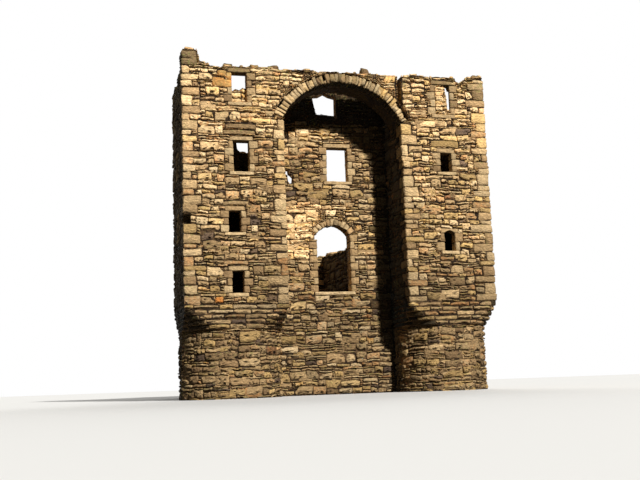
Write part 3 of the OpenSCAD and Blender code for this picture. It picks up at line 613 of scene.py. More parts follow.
def raise_stones(face, laid, ring, rng, proud=None, relief=None, drift=None):
    """Points of one rough stone on each laid rectangle, and how near each is to an edge."""
    rubble = bpy.context.scene.keep_rubble
    proud = rubble.proud if proud is None else proud
    relief = rubble.relief if relief is None else relief
    drift = rubble.wander if drift is None else drift
    count, points = len(laid), len(ring)
    lowest = laid[:, None, 0::2] * face.cell
    size = laid[:, None, 1::2] * face.cell - lowest
    middle = lowest + size / 2
    height = size.min(axis=2)
    inward = np.where(ring == 0, 1.0, np.where(ring == 1, -1.0, 0.0))[None]
    outline = lowest + ring * size + inward * outline_inset(ring, size, height, rubble.joint, rng)
    turn = rng.normal(0, 0.022, (count, 1)) * np.minimum(1.0, 0.12 / height)
    outline[:, :, 1] += turn * (outline[:, :, 0] - middle[:, :, 0])
    bevel = np.minimum(rng.uniform(0.010, 0.032, (count, points, 1)), 0.17 * size)
    plateau = np.minimum(0.34 * height[:, :, None], 0.4 * size)
    rounding = np.where((inward != 0).all(axis=2), 0.75, 1.0)[:, :, None]
    rings = [outline + inward * step for step in (0.004, 0.0, bevel * rounding, plateau * rounding)]
    flat = np.concatenate([*rings, middle], axis=1)
    depth, lean = ring_depths(ring, height, proud, relief, rng)
    tilt = ((flat - middle) * lean).sum(axis=2)
    depth[:, points:] += np.clip(tilt, -0.028, 0.028)[:, points:]
    base = np.array([face.depth[r0:r1, c0:c1].mean() for c0, c1, r0, r1 in laid])
    u, v = wander(flat[:, :, 0], flat[:, :, 1], drift)
    near = np.repeat([1.0, 1.0, 0.5, 0.12], points)
    return face.place(u, v, depth + base[:, None]), np.concatenate([near, [0.0]])


def light_at(height):
    """Factor by which the stones get paler from the foot up to the wall heads."""
    return np.interp(height, LIGHT_HEIGHTS, LIGHT_FACTORS)


def tones(count, rng):
    """Kind, share of shade and chance of each stone."""
    kind = np.clip(rng.normal(0.53, 0.16, count), *PLAIN_KINDS)
    odd = rng.random(count)
    kind = np.where(odd < 0.030, PLUM_KIND, kind)
    kind = np.where(odd > 0.965, OCHRE_KIND, kind)
    kind = np.where(odd > 0.9985, ORANGE_KIND, kind)
    shade = np.clip(rng.normal(1.0, 0.17, count), 0.60, 1.36)
    return np.column_stack([kind, shade / SHADE_SCALE, rng.random(count)])


def towards(turn, rise):
    """Direction to a lamp at an angle right of the front and above level."""
    return (math.sin(turn) * math.cos(rise), -math.cos(turn) * math.cos(rise), math.sin(rise))


def in_shade(places, reach=0.12):
    """Whether the building itself keeps the main lamp off each place."""
    stage = bpy.context.scene.keep_stage
    sun = Vector(towards(stage.sun_turn, stage.sun_rise))
    met = (SURVEY.tree.ray_cast(Vector(place) + sun * reach, sun)[0] for place in places)
    return np.array([place is not None for place in met])


def weather_and_painted_shade(places, painted_shadow):
    """Change of kind and factor of brightness at each place, some of it painted shade. The last
    argument is the factor of painted shadow where the building keeps the main lamp off."""
    change, light = np.zeros(len(places)), np.ones(len(places))
    for first, last, other, factor in PATCHES:
        inside = ((places > first) & (places < last)).all(axis=1)
        change += other * inside
        light *= np.where(inside, factor, 1.0)
    if painted_shadow < 1:
        light *= np.where(in_shade(places), painted_shadow, 1.0)
    return change, light


def add_stones(pile, face, mix, ring, rng, shift=0.0, level_chance=0.5, painted_shadow=1.0, accents=(),
               **rise):
    """Lays a face with stones and adds them to a pile. shift changes their kind, and each
    accent is a place whose nearest stone gets a kind of its own."""
    laid = lay(face, mix, rng, level_chance)
    points, edges = raise_stones(face, laid, ring, rng, **rise)
    middles = points.mean(axis=1)
    tint = tones(len(laid), rng)
    kind, shade = tint[:, 0], tint[:, 1]
    # Patches, some of them painted shade, and painted shadow where the main lamp is kept off
    change, light = weather_and_painted_shade(middles, painted_shadow)
    shift = shift + change - 0.10 * np.clip((5.5 - middles[:, 2]) / 3, 0, 1)
    tint[:, 1] = np.minimum(shade * light_at(middles[:, 2]) * light, BRIGHTEST)
    kind = np.where(kind < ODD_KINDS, np.clip(kind + shift, 0, ODD_KINDS - 0.01), kind)
    tint[:, 0] = np.where((kind >= ORANGE_KIND) & (middles[:, 2] > Z_CAP), HONEY_KIND, kind)
    for spot, own_kind in accents:
        tint[np.linalg.norm(middles - spot, axis=1).argmin(), 0] = own_kind
    pile.add(points, ring_faces(len(ring), 4), tint, edges)


def fill_joints(pile, face, rng, share, proud=0.011, relief=0.010, light=0.96, painted_shadow=1.0):
    """Fills a share of the joints with mortar, as rough pads just behind the stones."""
    laid = lay(face, MORTAR_MIX, rng, 0.2)
    laid = laid[rng.random(len(laid)) < share]
    points, edges = raise_stones(face, laid, PLAIN_RING, rng, proud=proud, relief=relief)
    count = len(laid)
    shade = light * rng.uniform(0.9, 1.1, count) * light_at(points[:, 0, 2]) ** 0.6
    # Only the darkening of the patches and the painted shadow, some of it painted shade
    shade *= np.minimum(weather_and_painted_shade(points.mean(axis=1), painted_shadow)[1], 1.0)
    kind = rng.uniform(0.26, 0.46, count)
    tint = np.column_stack([kind, shade / SHADE_SCALE, rng.uniform(0, 0.9, count)])
    pile.add(points, ring_faces(len(PLAIN_RING), 4), tint, 0.3 * edges)


def clad(name, face, mix, ring, rng, mortar=None, **laying):
    """Makes one piece of a face's stones, with a share of mortar in the joints if it is given."""
    pile = Pile()
    if mortar is not None:
        fill_joints(pile, face, rng, mortar)
    add_stones(pile, face, mix, ring, rng, **laying)
    pile.build(f"{name}_stones", finishes()["rubble"], "rubble_walling")


def deselect():
    """Leaves nothing selected or active."""
    bpy.ops.object.select_all(action="DESELECT")
    bpy.context.view_layer.objects.active = None


def block_template(cuts):
    """A cube cut into squares: each point as whole steps along the three axes, and its faces."""
    deselect()
    bpy.ops.mesh.primitive_cube_add(size=1, location=(0.5, 0.5, 0.5))
    bpy.ops.object.transform_apply(location=True, rotation=True, scale=True)
    bpy.ops.object.mode_set(mode="EDIT")
    bpy.ops.mesh.select_all(action="SELECT")
    bpy.ops.mesh.subdivide(number_cuts=cuts)
    bpy.ops.object.mode_set(mode="OBJECT")
    cube = bpy.context.active_object
    steps = np.array([v.co for v in cube.data.vertices]) * (cuts + 1)
    faces = [tuple(p.vertices) for p in cube.data.polygons]
    bpy.data.objects.remove(cube)
    return np.rint(steps).astype(int), faces


TEMPLATES = {}


class Blocks:
    """Cut blocks: boxes with worn edges, which a bend may turn into arch stones."""

    def __init__(self, cuts=3):
        if cuts not in TEMPLATES:
            TEMPLATES[cuts] = block_template(cuts)
        self.steps, self.faces = TEMPLATES[cuts]
        self.last = cuts + 1
        self.boxes, self.tints = [], []

    def put(self, lowest, highest, kind, shade, chance):
        """Puts one block between two corners."""
        self.boxes.append((lowest, highest))
        self.tints.append((kind, shade / SHADE_SCALE, chance))

    def shape(self, margin, rng, wear=0.010, rough=0.004, skew=0.008):
        """Points of all blocks, and how near each is to an edge. The corners wear by wear,
        the faces are rough, and each corner is out of place by about skew."""
        boxes = np.array(self.boxes, float)
        lowest, size = boxes[:, 0][:, None], (boxes[:, 1] - boxes[:, 0])[:, None]
        margin = np.minimum(margin / size, 0.25)
        even = self.steps[None] / self.last
        inner = margin + (even - 1 / self.last) / (1 - 2 / self.last) * (1 - 2 * margin)
        at_low, at_high = self.steps == 0, self.steps == self.last
        share = np.where(at_low, 0.0, np.where(at_high, 1.0, inner))
        outer = (at_low | at_high).sum(axis=1)
        pull = np.array([0.0, 0.0, 1.0, 1.5])[outer]
        count, points = len(boxes), len(self.steps)
        worn = wear * rng.uniform(0.4, 1.6, (count, points)) * pull
        inward = at_low.astype(float) - at_high
        shift = inward[None] * np.minimum(worn[:, :, None], 0.12 * size)
        shift = shift + rng.normal(0, rough, (count, points, 3))
        ends = np.stack([1 - share, share], axis=2)
        weights = np.einsum("npi,npj,npk->npijk", ends[..., 0], ends[..., 1], ends[..., 2])
        shift += np.einsum("npijk,nijkc->npc", weights, rng.normal(0, skew, (count, 2, 2, 2, 3)))
        near = np.where(outer >= 2, 1.0, 0.0)
        beside = ((self.steps == 1) | (self.steps == self.last - 1)).any(axis=1)
        near = np.where((outer == 1) & beside, 0.4, near)
        return lowest + share * size + shift, near

    def fill(self, pile, margin, rng, bend=None, **finish):
        """Adds the blocks to a pile, bent if the blocks are part of an arch."""
        points, near = self.shape(margin, rng, **finish)
        if bend:
            points = bend(points)
        pile.add(points, self.faces, np.array(self.tints), near)


def solids(node):
    """The separate solids of a CAD node, each as its own points."""
    points, faces = triangles(frame["nodes"][node])
    places, same = np.unique(np.rint(points * 5000).astype(int), axis=0, return_inverse=True)
    faces = same.ravel()[faces]
    label = np.arange(len(places))
    while True:
        least = label[faces].min(axis=1)
        lower = label.copy()
        np.minimum.at(lower, faces, least[:, None])
        if (lower == label).all():
            break
        label = lower
    used = np.unique(faces)
    return [places[used[label[used] == k]] / 5000 for k in np.unique(label[used])]


def outward_of(points):
    """Axis and sign in which a dressed stone's face looks, from the wall face that it lies in."""
    lowest, highest = points.min(axis=0), points.max(axis=0)
    faces = (
        (1, -1, lowest[1], (Y_FRONT, Y_GABLE)),
        (0, -1, lowest[0], (X_LEFT, X_NORTH)),
        (0, 1, highest[0], (X_RIGHT, X_SOUTH)),
        (1, 1, highest[1], (Y_END,)),
    )
    for axis, sign, place, planes in faces:
        if min(abs(place - p) for p in planes) < 0.05:
            return axis, sign
    raise RuntimeError("a dressed stone lies in no known face")


def stand_out(lowest, highest, axis, sign, proud):
    """The corners of a block that stands proud of its face."""
    lowest, highest = np.array(lowest, float), np.array(highest, float)
    if sign < 0:
        lowest[axis] -= proud
    else:
        highest[axis] += proud
    return lowest, highest


FACINGS = {}
STRAIGHT = {
    "front": ((X_LEFT, Y_FRONT), (X_RIGHT, Y_FRONT), Z_CAP, Z_TOP),
    "left_side": ((X_LEFT, Y_LEFT_BACK), (X_LEFT, Y_FRONT), Z_CAP, Z_TOP),
    "right_side": ((X_RIGHT, Y_FRONT), (X_RIGHT, Y_RIGHT_BACK), Z_CAP, Z_TOP),
    "left_back": ((X_GAP_LEFT, Y_LEFT_BACK), (X_LEFT, Y_LEFT_BACK), Z_CAP, Z_TOP),
    "right_back": ((X_RIGHT, Y_RIGHT_BACK), (X_GAP_RIGHT, Y_RIGHT_BACK), Z_CAP, Z_TOP),
    "recess": ((X_NORTH, Y_GABLE), (X_SOUTH, Y_GABLE), 0.0, Z_TOP),
    "left_inner": ((X_GAP_LEFT, Y_FRONT), (X_GAP_LEFT, Y_END_IN), Z_HALL, Z_TOP),
    "right_inner": ((X_GAP_RIGHT, Y_END_IN), (X_GAP_RIGHT, Y_FRONT), Z_HALL, Z_TOP),
    "gable_rear": ((X_GAP_RIGHT, Y_GABLE_IN), (X_GAP_LEFT, Y_GABLE_IN), Z_HALL, Z_TOP),
    "end_inner": ((X_GAP_LEFT, Y_END_IN), (X_GAP_RIGHT, Y_END_IN), Z_HALL, Z_HEAD),
    "north": ((X_NORTH, Y_END), (X_NORTH, Y_GABLE), 0.0, Z_HEAD),
    "south": ((X_SOUTH, Y_GABLE), (X_SOUTH, Y_END), 0.0, Z_HEAD),
    "end": ((X_SOUTH, Y_END), (X_NORTH, Y_END), 0.0, Z_HEAD),
}


def facing(name):
    """A straight face of the building by name, looked at once."""
    if name not in FACINGS:
        start, end, foot, top = STRAIGHT[name]
        FACINGS[name] = Facing([start, end], foot, top)
    return FACINGS[name]


class Socket:
    """A shader value or colour. Python's operators on it add Math nodes for values."""

    def __init__(self, finish, socket):
        self.finish = finish
        self.socket = socket

    def maths(self, operation, *values):
        """A Math node on these values."""
        return self.finish.node("ShaderNodeMath", {"operation": operation}, dict(enumerate(values)))

    def __add__(self, other):
        return self.maths("ADD", self, other)

    def __sub__(self, other):
        return self.maths("SUBTRACT", self, other)

    def __rsub__(self, other):
        return self.maths("SUBTRACT", other, self)

    def __mul__(self, other):
        return self.maths("MULTIPLY", self, other)

    def __lt__(self, other):
        return self.maths("LESS_THAN", self, other)

    def __gt__(self, other):
        return self.maths("GREATER_THAN", self, other)

    def __abs__(self):
        return self.maths("ABSOLUTE", self)

    def larger(self, other):
        """The larger of two values."""
        return self.maths("MAXIMUM", self, other)

    def smaller(self, other):
        """The smaller of two values."""
        return self.maths("MINIMUM", self, other)

    def between(self, least, most):
        """1 where the value lies between two others."""
        return (self > least) * (self < most)

    __radd__ = __add__
    __rmul__ = __mul__


class Finish:
    """The nodes of one material, or of the world around the building."""

    def __init__(self, owner):
        self.owner = owner
        owner.use_nodes = True
        self.tree = owner.node_tree
        self.tree.nodes.clear()

    def feed(self, socket, value):
        """Sets a socket or links it."""
        if isinstance(value, Socket):
            self.tree.links.new(value.socket, socket)
        else:
            socket.default_value = value

    def node(self, kind, settings=None, inputs=None, output=0):
        """Adds a node with its settings and inputs, and returns one output."""
        made = self.tree.nodes.new(kind)
        for key, value in (settings or {}).items():
            if key == "stops":
                self.set_stops(made.color_ramp, value)
            else:
                setattr(made, key, value)
        for key, value in (inputs or {}).items():
            self.feed(made.inputs[key], value)
        return Socket(self, made.outputs[output]) if made.outputs else None

    @staticmethod
    def set_stops(ramp, stops):
        """Gives a colour ramp its places and colours."""
        while len(ramp.elements) < len(stops):
            ramp.elements.new(0.5)
        for element, (place, value) in zip(ramp.elements, stops):
            element.position = place
            element.color = (*value, 1)

    def attribute(self, name, output):
        """A value or colour that the mesh carries."""
        return self.node("ShaderNodeAttribute", {"attribute_name": name}, output=output)

    def place(self):
        """The point in the building's own frame."""
        return self.node("ShaderNodeTexCoord", output="Object")

    def split(self, vector):
        """The three parts of a vector or colour."""
        made = self.node("ShaderNodeSeparateXYZ", inputs={0: vector})
        return [Socket(self, out) for out in made.socket.node.outputs]

    def join(self, x, y, z):
        """A vector from three values."""
        return self.node("ShaderNodeCombineXYZ", inputs={0: x, 1: y, 2: z})

    def stretch(self, vector, x, y, z):
        """A vector scaled along each axis."""
        return self.node("ShaderNodeVectorMath", {"operation": "MULTIPLY"}, {0: vector, 1: (x, y, z)})

    def noise(self, vector, scale, detail=3.0, rough=0.55):
        """Noise from 0 to 1, about one half in the middle."""
        return self.node(
            "ShaderNodeTexNoise",
            inputs={"Vector": vector, "Scale": scale, "Detail": detail, "Roughness": rough},
        )

    def blend(self, factor, first, second, mode="MIX"):
        """Mix of two colours."""
        settings = {"data_type": "RGBA", "blend_type": mode, "clamp_factor": True}
        first, second = (c if isinstance(c, Socket) else (*c, 1) for c in (first, second))
        return self.node("ShaderNodeMix", settings, {0: factor, 6: first, 7: second}, output=2)

    def scale(self, tint, factor):
        """A colour made lighter or darker."""
        return self.node("ShaderNodeVectorMath", {"operation": "SCALE"}, {0: tint, "Scale": factor})

    def ramp(self, value, stops):
        """A colour by value."""
        return self.node("ShaderNodeValToRGB", {"stops": stops}, {0: value})

    def step(self, value, start, end):
        """Smooth step from 0 at start to 1 at end."""
        inputs = {"Value": value, "From Min": start, "From Max": end}
        settings = {"interpolation_type": "SMOOTHSTEP"}
        return self.node("ShaderNodeMapRange", settings, inputs)

    def spots(self, vector, scale, start, end, detail=3.0, rough=0.55):
        """Spots of 1 on 0 where noise lies over a level, with soft edges."""
        return self.step(self.noise(vector, scale, detail, rough), start, end)

    def grain(self, place, bed, speck):
        """Thin beds and fine specks in the stone."""
        beds = self.noise(self.stretch(place, *bed), 1.0, 4.0, 0.6)
        return beds, self.noise(place, speck, 2.0)

    def facing_up(self):
        """How far the surface looks upwards, from -1 to 1."""
        return self.split(self.node("ShaderNodeNewGeometry", output="Normal"))[2]

    def seen(self):
        """1 for what the camera, a reflection or a view through glass meets."""
        rays = ("Is Camera Ray", "Is Glossy Ray", "Is Transmission Ray")
        straight, glossy, through = (self.node("ShaderNodeLightPath", output=ray) for ray in rays)
        return straight.larger(glossy).larger(through)

    def surface(self, tint, roughness, height, strength, distance):
        """Closes the material with a stone surface and its fine relief."""
        inputs = {"Height": height, "Strength": strength, "Distance": distance}
        bump = self.node("ShaderNodeBump", inputs=inputs)
        shader = self.node(
            "ShaderNodeBsdfPrincipled",
            inputs={"Base Color": tint, "Roughness": roughness, "Normal": bump,
                    "Specular IOR Level": 0.15},
        )
        self.node("ShaderNodeOutputMaterial", inputs={0: shader})
        return self.owner


def new_finish(name):
    """A new material's nodes."""
    return Finish(bpy.data.materials.new(name))


def rubble_finish(rubble):
    """Weathered sandstone: beds and specks in each stone, grime at its edges, lichen on top."""
    finish = new_finish("rubble_sandstone")
    kind, shade, chance = finish.split(finish.attribute("tint", "Color"))
    edge = finish.attribute("edge", "Fac")
    place = finish.place()
    x, y, z = finish.split(place)
    up = finish.facing_up()

    # Colour of the stone
    patch = finish.noise(place, 2.2)
    kind = kind + (finish.noise(place, 5.0) - 0.5) * 0.16 + (patch - 0.5) * 0.14
    tint = finish.ramp(kind, [
        (0.0, rubble.plum), (0.12, rubble.brown), (0.34, rubble.tan), (0.56, rubble.honey),
        (0.78, rubble.cream), (0.90, rubble.ochre), (1.0, rubble.orange),
    ])
    iron = (chance < 0.13) * finish.spots(place, 7.0, 0.35, 0.6)
    tint = finish.blend(iron * 0.34, tint, rubble.orange)
    tint = finish.blend(chance.between(0.72, 0.88) * 0.6, tint, rubble.ochre)

    # Light and dark within it
    beds, specks = finish.grain(place, (2.0, 2.0, 26.0), 46.0)
    mottle = finish.spots(finish.stretch(place, 1.0, 1.0, 1.8), 9.5, 0.32, 0.68, rough=0.6)
    light = shade * SHADE_SCALE * (0.42 + beds * 0.44 + specks * 0.30 + mottle * 0.50)
    tint = finish.scale(tint, light)

    # Grime and stains, with painted shade on faces that look down, on the north side and in the reveal
    grime = edge * finish.spots(place, 5.0, 0.40, 0.72, 4.0)
    tint = finish.blend(grime * 0.6, tint, rubble.gap)
    stain = finish.spots(place, 3.4, 0.60, 0.76, 4.0, 0.62)
    tint = finish.blend(stain * 0.42, tint, rubble.brown)
    # Painted shade on faces that look down
    tint = finish.blend(finish.step(up, -0.25, -0.8) * 0.6, tint, rubble.gap)
    # Painted shade over the sunless north side and the reveal beside the arch
    reveal = x.between(X_GAP_RIGHT - 0.09, X_GAP_RIGHT + 0.02) * (y < Y_GABLE)
    painted_shade = (y > Y_FRONT + 0.04) * ((x < X_LEFT + 0.01) + reveal)
    tint = finish.blend(painted_shade * 0.72, tint, rubble.painted_shade)

    # Lichen on the tops and near the wall heads
    height = finish.step(z, Z_HEAD - 1.3, Z_HEAD + 0.2)
    growth = height * 0.42 + finish.step(up, 0.35, 0.9) * 0.7 + (chance > 0.93) * 0.25
    tint = finish.blend(finish.spots(place, 8.5, 0.52, 0.64) * growth, tint, rubble.lichen)
    relief = beds * 0.7 + specks * 0.3 + mottle * 0.6
    return finish.surface(tint, 0.84 + specks * 0.14, relief, 0.9, 0.045)


def dressed_finish(dressed, rubble):
    """Cut sandstone: smoother, with tooling, stains and worn edges."""
    finish = new_finish("cut_sandstone")
    kind, shade, chance = finish.split(finish.attribute("tint", "Color"))
    edge = finish.attribute("edge", "Fac")
    place = finish.place()
    x, y, z = finish.split(place)
    tint = finish.ramp(kind + (finish.noise(place, 3.2) - 0.5) * 0.3, [
        (0.0, rubble.brown), (0.3, dressed.deep), (0.62, dressed.pale),
        (0.8, rubble.cream), (0.92, dressed.gold), (1.0, rubble.orange),
    ])
    beds, specks = finish.grain(place, (2.4, 2.4, 18.0), 52.0)
    mottle = finish.spots(place, 10.0, 0.32, 0.68, rough=0.6)
    light = shade * SHADE_SCALE * (0.46 + beds * 0.42 + specks * 0.28 + mottle * 0.42)
    tint = finish.scale(tint, light)
    stain = finish.spots(place, 4.1, 0.56, 0.74, 4.0, 0.62)
    tint = finish.blend(stain * 0.38, tint, rubble.brown)
    grime = edge * finish.spots(place, 5.0, 0.40, 0.74, 4.0)
    tint = finish.blend(grime * 0.42, tint, rubble.gap)
    # Painted shade on faces that look down
    tint = finish.blend(finish.step(finish.facing_up(), -0.25, -0.8) * 0.8, tint, rubble.gap)

    # The arch's soffit lies in deep shade
    soffit = (z > Z_SPRING - 0.1) * y.between(Y_FRONT + 0.03, Y_GABLE - 0.4)
    soffit = soffit * x.between(X_GAP_LEFT - 0.3, X_GAP_RIGHT + 0.3)
    tint = finish.scale(tint, 1 - soffit * 0.9)

    growth = finish.step(z, Z_HEAD - 0.7, Z_HEAD + 0.4) * 0.6 + (chance > 0.92) * 0.25
    tint = finish.blend(finish.spots(place, 9.5, 0.50, 0.62) * growth, tint, rubble.lichen)
    relief = beds * 0.7 + specks * 0.3 + mottle * 0.6
    return finish.surface(tint, 0.82 + specks * 0.12, relief, 0.9, 0.035)


def wall_cells(finish, place):
    """Where a point lies in a wall of stretched stones: distance to the next joint, and two
    values that differ from stone to stone."""
    x, y, z = finish.split(place)
    nx, ny, nz = (abs(part) for part in finish.split(
        finish.node("ShaderNodeNewGeometry", output="Normal")))
    level = nz > 0.75
    cross = (nx > ny) * (1 - level)
    along = x + (y - x) * cross
    rise = z + (y - z) * level
    sway = finish.noise(finish.join(along, rise, 0.0), 2.0) * 0.16
    thin = 6.4 - level * 4.0
    cell = finish.join(along * 2.7 + sway, rise * thin + sway * 2.2, cross * 7.0)
    inputs = {"Vector": cell, "Scale": 1.0, "Randomness": 0.75}
    edge, stone = (
        finish.node("ShaderNodeTexVoronoi", {"feature": feature, "voronoi_dimensions": "2D"},
                    inputs, output)
        for feature, output in (("DISTANCE_TO_EDGE", "Distance"), ("F1", "Color"))
    )
    chance, other, _ = finish.split(stone)
    return edge, chance, other


def indoors(x, y, z):
    """1 in the tower rooms and in the notch of the lost corner stone, which are darkened as painted
    shade.
    """
    left_room = x.between(X_LEFT + 0.2, X_GAP_LEFT - 0.2)
    right_room = x.between(X_GAP_RIGHT + 0.2, X_RIGHT - 0.2)
    rooms = (left_room + right_room) * y.between(Y_FRONT + 0.2, Y_RIGHT_BACK - 0.2)
    notch = x.between(X_LEFT + 0.03, X_LEFT + 0.5) * y.between(Y_FRONT + 0.03, Y_FRONT + 0.5)
    return rooms.larger(notch * (z < Z_HEAD))


def behind_stones(x, y):
    """1 in the planes of the laid faces, where the masonry is the bottom of their joints."""
    across = (X_LEFT, X_RIGHT, X_GAP_LEFT, X_GAP_RIGHT, X_NORTH, X_SOUTH)
    deep = (Y_FRONT, Y_GABLE, Y_GABLE_IN, Y_LEFT_BACK, Y_RIGHT_BACK, Y_END, Y_END_IN)
    behind = 0.0
    for part, planes in ((x, across), (y, deep)):
        for plane in planes:
            behind = (abs(part - plane) < 0.004) + behind
    return behind.smaller(1.0)


def core_finish(name, rubble, light):
    """Masonry of the faces without laid stones: stretched stones with dark joints."""
    finish = new_finish(name)
    place = finish.place()
    x, y, z = finish.split(place)
    edge, chance, other = wall_cells(finish, place)
    tint = finish.ramp(chance, [
        (0.0, rubble.plum), (0.15, rubble.brown), (0.5, rubble.tan), (0.85, rubble.honey),
        (1.0, rubble.ochre),
    ])
    beds, specks = finish.grain(place, (2.0, 2.0, 26.0), 46.0)
    tint = finish.scale(tint, light * (0.62 + other * 0.3 + beds * 0.3 + specks * 0.12))
    # Painted shade in the tower rooms and the notch
    tint = finish.scale(tint, 1 - indoors(x, y, z) * 0.62)
    joint = 1 - finish.step(edge + (finish.noise(place, 11.0) - 0.5) * 0.06, 0.02, 0.10)
    tint = finish.blend(joint * 0.85, tint, rubble.gap)
    bottom = finish.blend(finish.spots(place, 4.0, 0.48, 0.62, 4.0, 0.6), rubble.gap, rubble.earth)
    tint = finish.blend(behind_stones(x, y), tint, bottom)
    relief = finish.step(edge, 0.0, 0.16) + beds * 0.3 + specks * 0.1
    return finish.surface(tint, 0.9, relief, 0.8, 0.035)


def flag_finish(rubble):
    """Stone floors: large flags with dusty joints."""
    finish = new_finish("stone_flags")
    place = finish.place()
    flags = finish.node(
        "ShaderNodeTexBrick",
        {"offset": 0.5},
        {"Vector": place, "Color1": (*rubble.tan, 1), "Color2": (*rubble.honey, 1),
         "Mortar": (*rubble.gap, 1), "Scale": 1.0, "Mortar Size": 0.014,
         "Brick Width": 0.72, "Row Height": 0.48},
    )
    wear = finish.noise(place, 5.0, 5.0)
    tint = finish.scale(flags, 0.6 + wear * 0.5)
    moss = finish.spots(place, 1.8, 0.5, 0.68, 4.0)
    tint = finish.blend(moss * 0.4, tint, rubble.lichen)
    return finish.surface(tint, 0.9, wear, 0.5, 0.02)


FINISHES = {}


def finishes():
    """All materials of the building, made once."""
    if not FINISHES:
        rubble, dressed = bpy.context.scene.keep_rubble, bpy.context.scene.keep_dressed
        FINISHES["rubble"] = rubble_finish(rubble)
        FINISHES["dressed"] = dressed_finish(dressed, rubble)
        FINISHES["core"] = core_finish("core_masonry", rubble, CORE_LIGHT)
        FINISHES["vault"] = core_finish("vault_masonry_painted_shade", rubble, VAULT_PAINTED_SHADE)
        FINISHES["flags"] = flag_finish(rubble)
    return FINISHES


# Turn, rise and size of the rear lamp, and colours of the even light and of the surround
REAR_LAMP = (math.radians(160), math.radians(35), math.radians(40))
SKY = (0.94, 0.97, 1.0)
WHITE = (1.0, 1.0, 1.0)


class KEEP_OT_stage(bpy.types.Operator):
    """Sets the camera, the lamps, the white surround and the plain floor"""

    bl_idname = "keep.stage"
    bl_label = "Stage"

    def execute(self, context):
        stage = context.scene.keep_stage
        self.add_camera(context, stage)
        self.add_lamp("main_sun", stage.sun_strength, stage.sun_turn, stage.sun_rise, stage.sun_size)
        self.add_lamp("rear_sun", stage.fill_strength, *REAR_LAMP)
        self.add_surround(context, stage)
        self.add_floor(stage)
        context.scene.view_settings.view_transform = "Standard"
        return {"FINISHED"}

    @staticmethod
    def add_camera(context, stage):
        """Puts the camera at the eye, turned by yaw, pitch and roll."""
        data = bpy.data.cameras.new("view")
        data.lens = stage.lens
        data.sensor_width = 36.0
        data.clip_end = 1000.0
        camera = bpy.data.objects.new("view", data)
        context.scene.collection.objects.link(camera)
        right = Vector((math.cos(stage.yaw), math.sin(stage.yaw), 0))
        ahead = Vector((-math.sin(stage.yaw), math.cos(stage.yaw), 0))
        up = Vector((0, 0, 1))
        sight = ahead * math.cos(stage.pitch) + up * math.sin(stage.pitch)
        crown = up * math.cos(stage.pitch) - ahead * math.sin(stage.pitch)
        level = right * math.cos(stage.roll) + crown * math.sin(stage.roll)
        crown = crown * math.cos(stage.roll) - right * math.sin(stage.roll)
        turned = Matrix((level, crown, -sight)).transposed().to_4x4()
        camera.matrix_world = Matrix.Translation(stage.eye) @ turned
        context.scene.camera = camera

    @staticmethod
    def add_lamp(name, strength, turn, rise, size):
        """Adds a sun that shines from an angle right of the front and above level."""
        lamp = bpy.data.lights.new(name, "SUN")
        lamp.energy = strength
        lamp.angle = size
        holder = bpy.data.objects.new(name, lamp)
        bpy.context.scene.collection.objects.link(holder)
        source = Vector(towards(turn, rise))
        holder.rotation_euler = source.to_track_quat("Z", "Y").to_euler()

    @staticmethod
    def add_surround(context, stage):
        """Even light, with white for what the camera and reflections see directly."""
        context.scene.world = context.scene.world or bpy.data.worlds.new("surround")
        finish = Finish(context.scene.world)
        even, white = (
            finish.node("ShaderNodeBackground", inputs={"Color": (*tint, 1), "Strength": strength})
            for tint, strength in ((SKY, stage.sky_strength), (WHITE, 1.0))
        )
        shader = finish.node("ShaderNodeMixShader", inputs={0: finish.seen(), 1: even, 2: white})
        finish.node("ShaderNodeOutputWorld", inputs={0: shader})

    @staticmethod
    def add_floor(stage):
        """A wide plain plane at ground level."""
        deselect()
        bpy.ops.mesh.primitive_plane_add(size=stage.floor_size, location=(0, 0, 0))
        floor = bpy.context.active_object
        floor.name = "plain_floor"
        finish = new_finish("plain_floor")
        bounce, shown = (
            finish.node("ShaderNodeBsdfDiffuse", inputs={"Color": (*tint, 1)})
            for tint in (stage.floor_bounce, stage.floor)
        )
        shader = finish.node("ShaderNodeMixShader", inputs={0: finish.seen(), 1: bounce, 2: shown})
        finish.node("ShaderNodeOutputMaterial", inputs={0: shader})
        floor.data.materials.append(finish.owner)


class KEEP_OT_wall_finish(bpy.types.Operator):
    """Gives every CAD node its masonry or flags"""

    bl_idname = "keep.wall_finish"
    bl_label = "Wall finish"

    def execute(self, context):
        made = finishes()
        for name, obj in frame["nodes"].items():
            kind = "core"
            if name.endswith("floors"):
                kind = "flags"
            # The arch's barrel gets the masonry darkened as painted shade
            elif name == "arch_barrel":
                kind = "vault"
            obj.data.materials.clear()
            obj.data.materials.append(made[kind])
        return {"FINISHED"}


